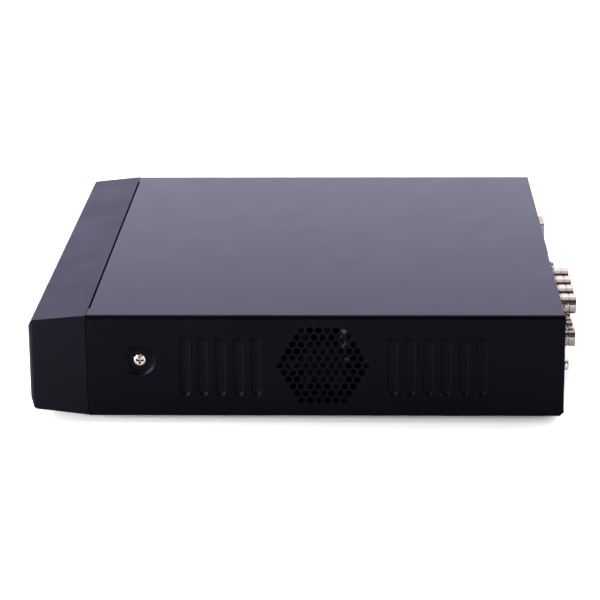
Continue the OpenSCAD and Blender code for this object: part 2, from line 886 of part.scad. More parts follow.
module camera_socket_insulators() {
    color([0.93, 0.93, 0.9])
        camera_grid()
            translate([0, 0, 1]) difference() {
                union() {
                    cylinder(h = 3, r = 4.05);
                    cylinder(h = 11.2, r = 2.4);
                }
                translate([0, 0, -1]) cylinder(h = 14, r = 1.1);
            }
}

module camera_socket_contacts() {
    color([0.85, 0.65, 0.25])
        camera_grid()
            translate([0, 0, 1]) difference() {
                cylinder(h = 10.8, r = 1.05);
                translate([0, 0, 5]) cylinder(h = 7, r = 0.65);
            }
}

module audio_socket_shells() {
    color([0.78, 0.76, 0.73])
        for (x = audio_x)
            difference() {
                rod_y(x, y_panel + 1, audio_z, audio_r, 7.4);
                rod_y(x, y_panel, audio_z, 3.4, 10);
            }
}

module audio_socket_inserts() {
    color([0.8, 0.1, 0.08])
        for (x = audio_x)
            difference() {
                union() {
                    rod_y(x, y_block, audio_z, audio_collar_r, y_panel + 1 - y_block);
                    rod_y(x, y_panel, audio_z, 3.35, 7.6);
                }
                rod_y(x, y_panel - 1, audio_z, 1.7, 10);
            }
}

// D-shaped outline of the monitor socket
module monitor_outline(grow) {
    w = 8.4 + grow;
    narrow = 7.2 + grow;
    h = 4.1 + grow;
    cut = 1.6;
    translate([monitor_x, monitor_z])
        polygon([[-w + cut, h], [w - cut, h], [w, h - cut], [narrow, -h + cut], [narrow - cut, -h],
            [-narrow + cut, -h], [-narrow, -h + cut], [-w, h - cut]]);
}

module monitor_socket_shell() {
    color([0.78, 0.77, 0.75]) {
        plate_y(y_block - 1.5, y_panel + 8.5 - y_block) difference() {
            monitor_outline(-0.1);
            monitor_outline(-0.6);
        }
    }
}

module monitor_socket_insert() {
    color([0.08, 0.15, 0.5])
        difference() {
            plate_y(y_block - 4, y_panel + 9 - y_block) monitor_outline(-0.65);
            for (row = [-1:1])
                for (k = [-2:2])
                    rod_y(monitor_x + k * 2.29 + row * 0.6, y_panel + 1, monitor_z + row * 1.98, 0.5, 6);
        }
}

module monitor_socket_nuts() {
    color([0.78, 0.77, 0.75])
        for (side = [-1, 1])
            translate([monitor_x + side * monitor_nut_pitch / 2, y_block, monitor_z])
                rotate([-90, 0, 0]) difference() {
                    union() {
                        cylinder(h = 6.6, r = monitor_nut_w / 2 / cos(30), $fn = 6);
                        translate([0, 0, -5]) cylinder(h = 5 + eps, r = 1.45);
                    }
                    translate([0, 0, 1]) cylinder(h = 6, r = 1.25);
                }
}

// Outline of the small digital video socket
module hdmi_outline(grow) {
    w = 7.3 + grow;
    h = 2.6 + grow;
    translate([monitor_x, hdmi_z])
        polygon([[-w, h], [w, h], [w, -h + 2], [w - 1.6, -h + 0.6], [w - 2.2, -h], [-w + 2.2, -h],
            [-w + 1.6, -h + 0.6], [-w, -h + 2]]);
}

module hdmi_shell() {
    color([0.75, 0.75, 0.77])
        plate_y(y_panel - hdmi_d, hdmi_d + 0.6) difference() {
            hdmi_outline(0);
            hdmi_outline(-0.35);
        }
}

module hdmi_tongue() {
    color([0.08, 0.08, 0.09]) {
        plate_y(y_panel - hdmi_d, 3) hdmi_outline(-0.4);
        plate_y(y_panel - 9, 9) translate([monitor_x - 5.5, hdmi_z - 0.2]) square([11, 1.1]);
    }
}

module lan_shell() {
    z0 = z_board_top;
    color([0.75, 0.75, 0.77])
        difference() {
            block([lan_x - lan_w / 2, y_jacks, z0], [lan_x + lan_w / 2, y_panel + 0.5, z0 + lan_h]);
            block([lan_x - lan_w / 2 + shell_t, y_jacks + shell_t, z0 + shell_t],
                [lan_x + lan_w / 2 - shell_t, y_panel + 1, z0 + lan_h - shell_t]);
        }
}

module lan_insert() {
    z0 = z_board_top + shell_t;
    x0 = lan_x - lan_w / 2 + shell_t;
    y0 = y_panel - 11;
    color([0.09, 0.09, 0.1])
        difference() {
            block([x0, y_jacks + shell_t, z0],
                [x0 + lan_w - 2 * shell_t, y_panel + 0.2, z0 + lan_h - 2 * shell_t]);
            block([lan_x - 5.9, y0, z0 + 2.6], [lan_x + 5.9, y_panel + 1, z0 + 10.4]);
            block([lan_x - 3.1, y0, z0 + 1], [lan_x + 3.1, y_panel + 1, z0 + 2.7]);
        }
}

module power_inlet() {
    color([0.07, 0.07, 0.075])
        difference() {
            union() {
                block([inlet_x - 4.6, y_jacks + 1, z_board_top],
                    [inlet_x + 4.6, y_block, inlet_z + 5.2]);
                rod_y(inlet_x, y_block - eps, inlet_z, inlet_r, y_panel + 0.4 - y_block);
            }
            rod_y(inlet_x, y_panel - inlet_d, inlet_z, 2.8, 12);
        }
}

module power_inlet_pin() {
    color([0.78, 0.77, 0.75])
        rod_y(inlet_x, y_panel - inlet_d, inlet_z, 1, 9);
}

module power_switch_case() {
    color([0.07, 0.07, 0.075])
        difference() {
            union() {
                plate_y(y_panel, 1.4)
                    rounded(switch_x, switch_z, switch_case_w + 2, switch_case_h + 2.4, 1);
                plate_y(y_panel - 15, 15 + eps)
                    rounded(switch_x, switch_z, switch_case_w, switch_case_h, 0.4);
            }
            plate_y(y_panel - 6, 8)
                rounded(switch_x, switch_z, switch_case_w - 1.4, switch_case_h - 1.8, 0.4);
        }
}

// Rocker with two flat faces that meet in a shallow valley; it turns about an upright pin
module power_switch_rocker() {
    reach = 8.5;
    rocker_h = 10;
    crown = y_panel + 3.4 - rocker_y;
    color([0.09, 0.09, 0.095])
        translate([switch_x, rocker_y, switch_z - rocker_h / 2]) rotate(-rocker_tilt)
            linear_extrude(rocker_h) intersection() {
                circle(reach);
                union() {
                    polygon([[-reach, 1], [reach, 1], [reach, crown - 0.2], [0, crown - 1.3],
                        [-reach, crown - 0.2]]);
                    translate([-3, -3]) square([6, 5]);
                }
            }
}

// ---- Fan: drawn along Z from its inner face, then laid along X ----

module place_fan() {
    translate([fan_x, vent_y, vent_z]) rotate([0, 90, 0]) children();
}

// Cross-section of the frame: a square with the airway and four screw holes
module fan_outline() {
    difference() {
        square(fan_w, center = true);
        circle(fan_bore_r);
        for (sx = [-1, 1])
            for (sy = [-1, 1])
                translate([sx * fan_hole_at, sy * fan_hole_at]) circle(1.75);
    }
}

module fan_frame() {
    base_t = 1.5;
    color([0.08, 0.08, 0.085])
        place_fan() difference() {
            union() {
                linear_extrude(fan_t - base_t) fan_outline();
                translate([0, 0, fan_t - base_t]) linear_extrude(base_t) union() {
                    fan_outline();
                    difference() {
                        circle(hub_r);
                        circle(shaft_r + 0.05);
                    }
                    for (k = [0:fan_struts - 1])
                        rotate(k * 360 / fan_struts + strut_turn) translate([hub_r - 0.6, -1])
                            square([fan_bore_r - hub_r + 1.2, 2]);
                }
                translate([0, 0, 2.6]) linear_extrude(fan_t - base_t - 2.6) difference() {
                    circle(2.4);
                    circle(shaft_r + 0.05);
                }
            }
            translate([fan_lead_at - 1.5, fan_w / 2 - 2.6, 7]) cube([3, 3, 4]);
        }
}

module fan_stator() {
    color([0.72, 0.4, 0.2])
        place_fan() translate([0, 0, 3]) {
            difference() {
                cylinder(h = 4.6, r = 4);
                translate([0, 0, -1]) cylinder(h = 7, r = 2.45);
            }
            for (k = [0:3])
                rotate(k * 90 + 45) translate([3.5, -2, 0.5]) cube([3.9, 4, 3.6]);
        }
}

module fan_rotor() {
    blade_chord = 8.4;
    color([0.09, 0.09, 0.095])
        place_fan() {
            difference() {
                translate([0, 0, 0.6]) cylinder(h = 7.4, r = hub_r);
                translate([0, 0, 1.8]) cylinder(h = 8, r = hub_r - 1.2);
            }
            translate([0, 0, 1.7]) cylinder(h = fan_t - 2.2, r = shaft_r);
            intersection() {
                translate([0, 0, 0.4]) cylinder(h = 7.8, r = fan_bore_r - 0.7);
                for (k = [0:fan_blades - 1])
                    rotate(k * 360 / fan_blades) translate([hub_r - 0.4, 0, 4.3]) rotate([38, 0, 0])
                        translate([0, -blade_chord / 2, -0.45])
                            cube([fan_bore_r - hub_r, blade_chord, 0.9]);
            }
        }
}

module fan_screws() {
    color([0.7, 0.7, 0.7])
        place_fan()
            for (sx = [-1, 1])
                for (sy = [-1, 1])
                    translate([sx * fan_hole_at, sy * fan_hole_at, 0]) rotate([180, 0, 0])
                        pan_screw(2.6, 1.8, screw_shank_r, fan_t + sheet);
}

module fan_lead() {
    z0 = vent_z - fan_lead_at;
    route = smooth([[fan_x + 8.5, vent_y + 18, z0], [fan_x + 8.5, vent_y + 21, z0],
        [fan_x + 5, vent_y + 25, z0 - 2], [fan_x - 4, vent_y + 27, z0 - 3], [100, 33, 12],
        [90, 32, 20], [79, 31, 24], [71, 30, 23], [70, 30, 19]], 3);
    color([0.75, 0.1, 0.08]) {
        lead(route, 1.1, 8, [0.1, 0.2, 1]);
        block([67.1, 28.1, z_board_top + 1.8], [72.9, 31.9, z_board_top + 8.6]);
    }
}

// ---- Hard drive ----

module drive_base() {
    platter_room_r = 48.4;
    color([0.62, 0.63, 0.65])
        difference() {
            block([drive_x[0], drive_y[0], drive_z], [drive_x[1], drive_y[1], z_drive_lid]);
            block([drive_x[0] + 6, drive_y[0] + 8, drive_z - 1],
                [drive_x[1] + 1, drive_y[1] - 8, drive_z + 4.4]);
            translate([drive_hub_x, drive_mid_y, drive_z + 7])
                cylinder(h = drive_h, r = platter_room_r);
            block([drive_x[0] + 60, drive_y[0] + 6, drive_z + 7],
                [drive_x[1] - 6, drive_y[1] - 20, z_drive_lid + 1]);
            for (x = drive_hole_x)
                for (y = drive_hole_y)
                    translate([x, y, drive_z - 1]) cylinder(h = 7, r = thread_r);
        }
}

module drive_lid() {
    margin = 2;
    color([0.75, 0.76, 0.78])
        difference() {
            translate([0, 0, z_drive_lid]) linear_extrude(drive_lid_t)
                rounded((drive_x[0] + drive_x[1]) / 2, drive_mid_y,
                    drive_x[1] - drive_x[0] - margin, drive_w - margin, 5);
            translate([drive_hub_x, drive_mid_y, z_drive_lid + 0.7]) cylinder(h = 2, r = 14);
        }
}

module drive_board() {
    color([0.05, 0.2, 0.35]) {
        block([drive_x[0] + 40, drive_y[0] + 10, drive_z + 1.2],
            [drive_x[1] - 1, drive_y[1] - 10, drive_z + 2.8]);
        block([drive_x[1] - 8, drive_y[1] - 50, drive_z + 2.7],
            [drive_x[1] - 0.4, drive_y[1] - 12, drive_z + 4.3]);
    }
}

module drive_screws() {
    color([0.75, 0.75, 0.75])
        for (x = drive_hole_x)
            for (y = drive_hole_y)
                translate([x, y, z_base]) rotate([180, 0, 0])
                    pan_screw(3.4, 2, screw_shank_r, drive_z - z_base + screw_shank_len);
}

module drive_data_cable() {
    z0 = drive_z + 2.6;
    route = smooth([[drive_x[1] + 6, -22, z0], [36, -22, z0], [42, -14, 13], [42, -2, 19],
        [38, 9, 25], [31, 17, 28], [25, 20, 27], [22, 20, 23], [22, 20, 18]], 3);
    color([0.7, 0.08, 0.06]) {
        lead(route, 1.9, 8, [0.2, 0.9, 0.3]);
        block([drive_x[1], -30, drive_z + 0.2], [drive_x[1] + plug_d, -15, drive_z + 5]);
        block([15, 17.6, z_board_top + 2], [29, 22.4, z_board_top + 9]);
    }
}

module drive_power_cable() {
    route = smooth([[drive_x[1] + 5, -48, drive_z + 3], [40, -48, drive_z + 3], [49, -38, 12],
        [51, -18, 18], [48, 0, 28], [36, 12, 34], [18, 18, 35], [4, 20, 30], [2, 20, 18]], 3);
    color([0.85, 0.7, 0.1]) {
        lead(route, 2.2, 8, [0.3, 1, 0.2]);
        block([drive_x[1], -60, drive_z + 0.2], [drive_x[1] + plug_d, -36, drive_z + 5.6]);
        block([-3.6, 17.9, z_board_top + 1.8], [7.6, 22.1, z_board_top + 9.6]);
    }
}

chassis_tray();
top_cover();
cover_side_screws();
cover_rear_screws();
rubber_feet();
front_bezel();
fascia_window();
light_guides();
status_leds();
key_up();
key_down();
key_left();
key_right();
key_ok();
key_menu();
key_record();
key_play();
key_switches();
front_board();
front_board_screws();
front_ribbon();
usb_shells();
usb_tongues();
main_board();
board_screws();
board_chips();
heatsink();
board_capacitors();
clock_cell_holder();
clock_cell();
buzzer();
board_headers();
jack_blocks();
camera_socket_barrels();
camera_socket_insulators();
camera_socket_contacts();
audio_socket_shells();
audio_socket_inserts();
monitor_socket_shell();
monitor_socket_insert();
monitor_socket_nuts();
hdmi_shell();
hdmi_tongue();
lan_shell();
lan_insert();
power_inlet();
power_inlet_pin();
power_switch_case();
power_switch_rocker();
fan_frame();
fan_stator();
fan_rotor();
fan_screws();
fan_lead();
drive_base();
drive_lid();
drive_board();
drive_screws();
drive_data_cable();
drive_power_cable();
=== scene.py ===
import json
import math

import bmesh
import bpy
from mathutils import Matrix, Quaternion, Vector
from mathutils.geometry import delaunay_2d_cdt

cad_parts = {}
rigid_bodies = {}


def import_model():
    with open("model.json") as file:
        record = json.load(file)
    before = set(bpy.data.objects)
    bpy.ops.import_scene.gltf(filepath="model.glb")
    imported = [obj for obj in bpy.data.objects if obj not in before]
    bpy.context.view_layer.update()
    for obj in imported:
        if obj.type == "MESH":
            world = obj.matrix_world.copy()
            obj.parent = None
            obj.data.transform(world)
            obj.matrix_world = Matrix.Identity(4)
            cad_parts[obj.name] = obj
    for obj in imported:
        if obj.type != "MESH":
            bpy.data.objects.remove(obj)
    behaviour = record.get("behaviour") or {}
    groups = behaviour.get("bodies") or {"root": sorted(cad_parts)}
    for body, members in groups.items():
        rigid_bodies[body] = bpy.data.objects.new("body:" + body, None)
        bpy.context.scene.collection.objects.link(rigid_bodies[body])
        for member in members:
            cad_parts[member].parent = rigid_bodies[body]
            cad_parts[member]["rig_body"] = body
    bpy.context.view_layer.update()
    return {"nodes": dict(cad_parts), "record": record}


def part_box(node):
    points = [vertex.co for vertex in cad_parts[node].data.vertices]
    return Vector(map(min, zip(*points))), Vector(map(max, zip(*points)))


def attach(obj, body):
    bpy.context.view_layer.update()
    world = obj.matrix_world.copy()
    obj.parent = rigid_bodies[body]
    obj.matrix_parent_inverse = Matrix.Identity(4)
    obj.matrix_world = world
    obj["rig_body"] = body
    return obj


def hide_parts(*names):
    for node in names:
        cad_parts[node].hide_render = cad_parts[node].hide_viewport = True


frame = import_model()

MM = 0.001
CASE = "case"
scene = bpy.context.scene
X_AXIS, Y_AXIS, Z_AXIS = Vector((1, 0, 0)), Vector((0, 1, 0)), Vector((0, 0, 1))


# ---------------------------------------------------------------- camera and light

# What the camera looks at and its distance, in millimetres; azimuth, elevation and roll in degrees
CAMERA_TARGET = (0, -7.188, 18.516)
CAMERA_DISTANCE = 1162.4
CAMERA_ANGLES = (91.825, 16.906, -0.492)
CAMERA_LENS = 138.396

# The room is bright towards the object's left and dim towards its vented side; it fades between
# two values of a direction's X
ROOM_BRIGHT, ROOM_DIM = 4.4, 0.1
ROOM_COLOR = (0.91, 0.90, 1.0, 1)
ROOM_FADE = (-0.5, 0.15)


def make_camera():
    """A long lens from the right side, slightly above, level with the vent."""
    target = Vector(CAMERA_TARGET) * MM
    distance = CAMERA_DISTANCE * MM
    azimuth, elevation, roll = (math.radians(angle) for angle in CAMERA_ANGLES)
    back = Vector((math.sin(azimuth) * math.cos(elevation),
                   -math.cos(azimuth) * math.cos(elevation),
                   math.sin(elevation)))
    data = bpy.data.cameras.new("camera")
    data.sensor_width = 36
    data.lens = CAMERA_LENS
    data.clip_end = 50
    camera = bpy.data.objects.new("camera", data)
    scene.collection.objects.link(camera)
    camera.location = target + back * distance
    camera.rotation_mode = "QUATERNION"
    camera.rotation_quaternion = (-back).to_track_quat("-Z", "Y") @ Quaternion(Z_AXIS, roll)
    scene.camera = camera


def area_light(name, place, aim, size, power):
    """A soft box aimed at a point."""
    data = bpy.data.lights.new(name, "AREA")
    data.shape = "RECTANGLE"
    data.size, data.size_y = size
    data.energy = power
    light = bpy.data.objects.new(name, data)
    scene.collection.objects.link(light)
    light.location = place
    light.visible_camera = False
    light.rotation_mode = "QUATERNION"
    light.rotation_quaternion = (Vector(aim) - Vector(place)).to_track_quat("-Z", "Y")


def make_lights():
    """A room that is bright on the object's left, and soft boxes round its vented side."""
    world = bpy.data.worlds.new("studio")
    scene.world = world
    world.use_nodes = True
    tree = world.node_tree
    background = tree.nodes["Background"]
    background.inputs["Color"].default_value = ROOM_COLOR
    where = tree.nodes.new("ShaderNodeTexCoord")
    split = tree.nodes.new("ShaderNodeSeparateXYZ")
    fade = tree.nodes.new("ShaderNodeMapRange")
    fade.interpolation_type = "SMOOTHSTEP"
    for socket, value in (("From Min", ROOM_FADE[0]), ("From Max", ROOM_FADE[1]),
                          ("To Min", ROOM_BRIGHT), ("To Max", ROOM_DIM)):
        fade.inputs[socket].default_value = value
    tree.links.new(where.outputs["Generated"], split.inputs["Vector"])
    tree.links.new(split.outputs["X"], fade.inputs["Value"])
    tree.links.new(fade.outputs["Result"], background.inputs["Strength"])
    aim = (0.13, 0, 0.03)
    area_light("low_softbox", (0.45, -0.84, 0.11), aim, (0.4, 0.2), 12)
    area_light("left_softbox", (0.80, -0.56, 0.22), aim, (0.3, 0.4), 15)
    area_light("right_softbox", (0.84, 0.47, 0.24), aim, (0.25, 0.4), 3.2)
    area_light("overhead", (0.3, 0, 1.6), (0.2, 0, 0), (1.4, 1.4), 11)
    scene.view_settings.view_transform = "Standard"


# ---------------------------------------------------------------- mesh helpers

def add_piece(name, mesh, body, replaces, slot):
    """Links a mesh as a piece on a body, in place of CAD nodes, with a slot's finish."""
    piece = bpy.data.objects.new(name, mesh)
    scene.collection.objects.link(piece)
    mesh.materials.clear()
    mesh.materials.append(FINISH[slot])
    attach(piece, body)
    if replaces:
        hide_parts(*replaces)
    return piece


def stand_in(node, bm, name=None, sharp=35):
    """Puts a detailed mesh in the place of one CAD node, on its body and with its slot."""
    mesh = smooth_mesh(bm, name or node + "_finished", sharp)
    return add_piece(mesh.name, mesh, BODY_OF[node], (node,), SLOT_OF[node])


def smooth_mesh(bm, name, sharp=35):
    """Turns a bmesh into a smooth mesh that stays sharp where it turns by more than an angle."""
    bmesh.ops.recalc_face_normals(bm, faces=bm.faces[:])
    mesh = bpy.data.meshes.new(name)
    bm.to_mesh(mesh)
    bm.free()
    for polygon in mesh.polygons:
        polygon.use_smooth = True
    mesh.set_sharp_from_angle(angle=math.radians(sharp))
    weigh_normals(mesh, math.cos(math.radians(sharp)))
    return mesh


def weigh_normals(mesh, least):
    """Keeps large faces flat where they run into rounded edges: normals are weighed by area."""
    around = [[] for _ in mesh.vertices]
    facts = [(polygon.normal.copy(), polygon.area) for polygon in mesh.polygons]
    for polygon in mesh.polygons:
        for vertex in polygon.vertices:
            around[vertex].append(polygon.index)
    normals = []
    for polygon in mesh.polygons:
        own = facts[polygon.index][0]
        for vertex in polygon.vertices:
            total = Vector((0, 0, 0))
            for index in around[vertex]:
                normal, area = facts[index]
                if normal.dot(own) > least:
                    total += normal * area
            normals.append(total.normalized() if total.length > 0 else own)
    mesh.normals_split_custom_set(normals)


def node_bmesh(node):
    """A welded copy of a CAD node's mesh, with flat areas as single faces."""
    bm = bmesh.new()
    bm.from_mesh(frame["nodes"][node].data)
    bmesh.ops.remove_doubles(bm, verts=bm.verts[:], dist=1e-6)
    bmesh.ops.dissolve_limit(bm, angle_limit=math.radians(1), verts=bm.verts[:], edges=bm.edges[:])
    return bm


def islands(node):
    """The box of each separate solid of a CAD node, in order along X, Y and Z, in millimetres."""
    bm = bmesh.new()
    bm.from_mesh(frame["nodes"][node].data)
    bmesh.ops.remove_doubles(bm, verts=bm.verts[:], dist=1e-6)
    left = set(bm.verts)
    boxes = []
    while left:
        todo = [left.pop()]
        low, high = Vector((1e9,) * 3), Vector((-1e9,) * 3)
        while todo:
            vert = todo.pop()
            low = Vector(map(min, low, vert.co))
            high = Vector(map(max, high, vert.co))
            for edge in vert.link_edges:
                other = edge.other_vert(vert)
                if other in left:
                    left.remove(other)
                    todo.append(other)
        boxes.append((low / MM, high / MM))
    bm.free()
    return sorted(boxes, key=lambda pair: tuple(round(v, 3) for v in pair[0]))


def round_edges(bm, angle, radius, segments, pick=None):
    """Rounds the edges that turn by more than an angle and that pick allows, in millimetres."""
    edges = [edge for edge in bm.edges if len(edge.link_faces) == 2
             and edge.calc_face_angle() > math.radians(angle) and (pick is None or pick(edge))]
    bmesh.ops.bevel(bm, geom=edges, offset=radius * MM, offset_type="OFFSET", segments=segments,
                    profile=0.5, affect="EDGES", clamp_overlap=True)


def refine(node, bevel, angle=25, segments=2):
    """Stands a copy of a CAD node in its place, its edges rounded by a bevel in millimetres."""
    bm = node_bmesh(node)
    if bevel:
        round_edges(bm, angle, bevel, segments)
    return stand_in(node, bm)


def round_corners(points, radius, closed=False, steps=3):
    """Rounds the corners of an outline; points are 2-D and stay in order."""
    count = len(points)
    rounded = []
    for k, (x, y) in enumerate(points):
        if not closed and k in (0, count - 1):
            rounded.append((x, y))
            continue
        corner = Vector((x, y))
        before = Vector(points[k - 1]) - corner
        after = Vector(points[(k + 1) % count]) - corner
        reach = min(radius, before.length * 0.45, after.length * 0.45)
        start = corner + before.normalized() * reach
        end = corner + after.normalized() * reach
        for step in range(steps + 1):
            t = step / steps
            rounded.append(tuple((1 - t) ** 2 * start + 2 * t * (1 - t) * corner + t * t * end))
    return rounded


def lathe(profile, segments=48):
    """A solid turned about Z from (radius, height) points in millimetres, from axis to axis."""
    bm = bmesh.new()
    rings = []
    for radius, height in profile:
        turns = segments if radius > 1e-6 else 1
        rings.append([bm.verts.new((radius * MM * math.cos(2 * math.pi * k / segments),
                                    radius * MM * math.sin(2 * math.pi * k / segments),
                                    height * MM)) for k in range(turns)])
    for low, high in zip(rings, rings[1:]):
        for k in range(segments):
            corners = []
            for row, step in ((low, k), (low, k + 1), (high, k + 1), (high, k)):
                vert = row[step % len(row)]
                if vert not in corners:
                    corners.append(vert)
            if len(corners) > 2:
                bm.faces.new(corners)
    return bm


def prism(outline, length):
    """A solid of a 2-D outline in X and Y, in millimetres, along Z."""
    bm = bmesh.new()
    low = [bm.verts.new((x * MM, y * MM, 0)) for x, y in outline]
    high = [bm.verts.new((x * MM, y * MM, length * MM)) for x, y in outline]
    bm.faces.new(low)
    bm.faces.new(high)
    for k in range(len(low)):
        after = (k + 1) % len(low)
        bm.faces.new((low[k], low[after], high[after], high[k]))
    return bm


def as_mesh(bm):
    """A scratch mesh with its faces turned outwards."""
    bmesh.ops.recalc_face_normals(bm, faces=bm.faces[:])
    mesh = bpy.data.meshes.new("scratch")
    bm.to_mesh(mesh)
    bm.free()
    return mesh


def gather(parts):
    """One bmesh of many: parts are pairs of a mesh and the matrix that places it."""
    bm = bmesh.new()
    for mesh, matrix in parts:
        first = len(bm.verts)
        bm.from_mesh(mesh)
        bm.verts.ensure_lookup_table()
        bmesh.ops.transform(bm, matrix=matrix, verts=bm.verts[first:])
    return bm


def carve(mesh, cutters):
    """Cuts meshes out of a mesh."""
    solid = bpy.data.objects.new("solid", mesh)
    scene.collection.objects.link(solid)
    tools = []
    for cutter in cutters:
        tool = bpy.data.objects.new("tool", cutter)
        scene.collection.objects.link(tool)
        tools.append(tool)
        cut = solid.modifiers.new("cut", "BOOLEAN")
        cut.operation = "DIFFERENCE"
        cut.solver = "EXACT"
        cut.object = tool
    graph = bpy.context.evaluated_depsgraph_get()
    result = bpy.data.meshes.new_from_object(solid.evaluated_get(graph))
    for scratch in tools + [solid]:
        bpy.data.objects.remove(scratch)
    return result


def along(axis, place):
    """The matrix that turns Z to an axis and moves the origin to a place in millimetres."""
    turn = Z_AXIS.rotation_difference(Vector(axis)).to_matrix().to_4x4()
    return Matrix.Translation(Vector(place) * MM) @ turn


def arc(x, y, radius, start, end, steps):
    """Points on an arc, in degrees."""
    return [(x + radius * math.cos(math.radians(start + (end - start) * k / steps)),
             y + radius * math.sin(math.radians(start + (end - start) * k / steps)))
            for k in range(steps + 1)]


# ---------------------------------------------------------------- materials

NOISE_ROUGHNESS = 0.55


def noise(tree, scale, detail, stretch):
    """A noise in the object's own coordinates; scale is features per metre."""
    where = tree.nodes.new("ShaderNodeTexCoord")
    mapping = tree.nodes.new("ShaderNodeMapping")
    mapping.inputs["Scale"].default_value = stretch
    texture = tree.nodes.new("ShaderNodeTexNoise")
    texture.inputs["Scale"].default_value = scale
    texture.inputs["Detail"].default_value = detail
    texture.inputs["Roughness"].default_value = NOISE_ROUGHNESS
    tree.links.new(where.outputs["Object"], mapping.inputs["Vector"])
    tree.links.new(mapping.outputs["Vector"], texture.inputs["Vector"])
    return texture.outputs["Fac"]


def spread(tree, source, low, high, start=0.3, stop=0.7):
    """Maps the middle of a noise to a range."""
    node = tree.nodes.new("ShaderNodeMapRange")
    for socket, value in (("From Min", start), ("From Max", stop),
                          ("To Min", low), ("To Max", high)):
        node.inputs[socket].default_value = value
    tree.links.new(source, node.inputs["Value"])
    return node.outputs["Result"]


def blend_colors(tree, source, first, second):
    """Mixes two colours, or a colour into a socket's, by a value."""
    node = tree.nodes.new("ShaderNodeMix")
    node.data_type = "RGBA"
    colors = [socket for socket in node.inputs if socket.type == "RGBA"]
    for socket, color in zip(colors, (first, second)):
        if isinstance(color, tuple):
            socket.default_value = (*color, 1)
        else:
            tree.links.new(color, socket)
    tree.links.new(source, node.inputs["Factor"])
    return [socket for socket in node.outputs if socket.type == "RGBA"][0]


def raise_surface(tree, source, height, before=None):
    """A bump of a height in millimetres, on top of another one."""
    node = tree.nodes.new("ShaderNodeBump")
    node.inputs["Distance"].default_value = height * MM
    tree.links.new(source, node.inputs["Height"])
    if before is not None:
        tree.links.new(before, node.inputs["Normal"])
    return node.outputs["Normal"]


def finish(name, color, rough, metallic=0.0, vary=0.12, vary_scale=40, rough_vary=0.06,
           grain=(1500, 0.01), waves=None, stretch=(1, 1, 1), **sockets):
    """A material with colour variation, uneven roughness, a fine grain and slow waves.

    grain and waves are pairs of features per metre and height in millimetres.
    """
    material = bpy.data.materials.new(name)
    material.use_nodes = True
    tree = material.node_tree
    shader = tree.nodes["Principled BSDF"]
    dark = tuple(channel * (1 - vary) for channel in color)
    light = tuple(min(1.0, channel * (1 + vary)) for channel in color)
    mottle = spread(tree, noise(tree, vary_scale, 4.0, stretch), 0, 1)
    tree.links.new(blend_colors(tree, mottle, dark, light), shader.inputs["Base Color"])
    uneven = noise(tree, vary_scale * 3, 3.0, stretch)
    tree.links.new(spread(tree, uneven, rough - rough_vary, rough + rough_vary),
                   shader.inputs["Roughness"])
    normal = None
    for pair in (waves, grain):
        if pair:
            normal = raise_surface(tree, noise(tree, pair[0], 2.0, stretch), pair[1], normal)
    if normal is not None:
        tree.links.new(normal, shader.inputs["Normal"])
    shader.inputs["Metallic"].default_value = metallic
    for socket, value in sockets.items():
        shader.inputs[socket.replace("_", " ")].default_value = value
    return material


def add_traces(material, light, scale=240, width=0.045):
    """Copper tracks under a board's solder mask: lighter lines, slightly raised."""
    tree = material.node_tree
    shader = tree.nodes["Principled BSDF"]
    where = tree.nodes.new("ShaderNodeTexCoord")
    cells = tree.nodes.new("ShaderNodeTexVoronoi")
    cells.feature = "DISTANCE_TO_EDGE"
    cells.inputs["Scale"].default_value = scale
    cells.inputs["Randomness"].default_value = 0.55
    tree.links.new(where.outputs["Object"], cells.inputs["Vector"])
    tracks = spread(tree, cells.outputs["Distance"], 1, 0, width, width * 2)
    base = shader.inputs["Base Color"].links[0].from_socket
    tree.links.new(blend_colors(tree, tracks, base, light), shader.inputs["Base Color"])
    before = shader.inputs["Normal"].links[0].from_socket
    tree.links.new(raise_surface(tree, tracks, 0.03, before), shader.inputs["Normal"])
    return material


def board_finish(name, mask, light):
    """A board's solder mask with its tracks."""
    return add_traces(finish(name, mask, 0.32, vary=0.1, vary_scale=60, grain=(900, 0.004)), light)


# Edge tints of the lilac black coats on the steel and the bezel, which mirror a bright room only at
# a grazing angle, and of nickel
COAT_EDGE = (0.545, 0.54, 0.583, 1)
BEZEL_EDGE = (0.605, 0.60, 0.665, 1)
NICKEL = (0.28, 0.243, 0.222)
NICKEL_EDGE = (0.45, 0.42, 0.40, 1)


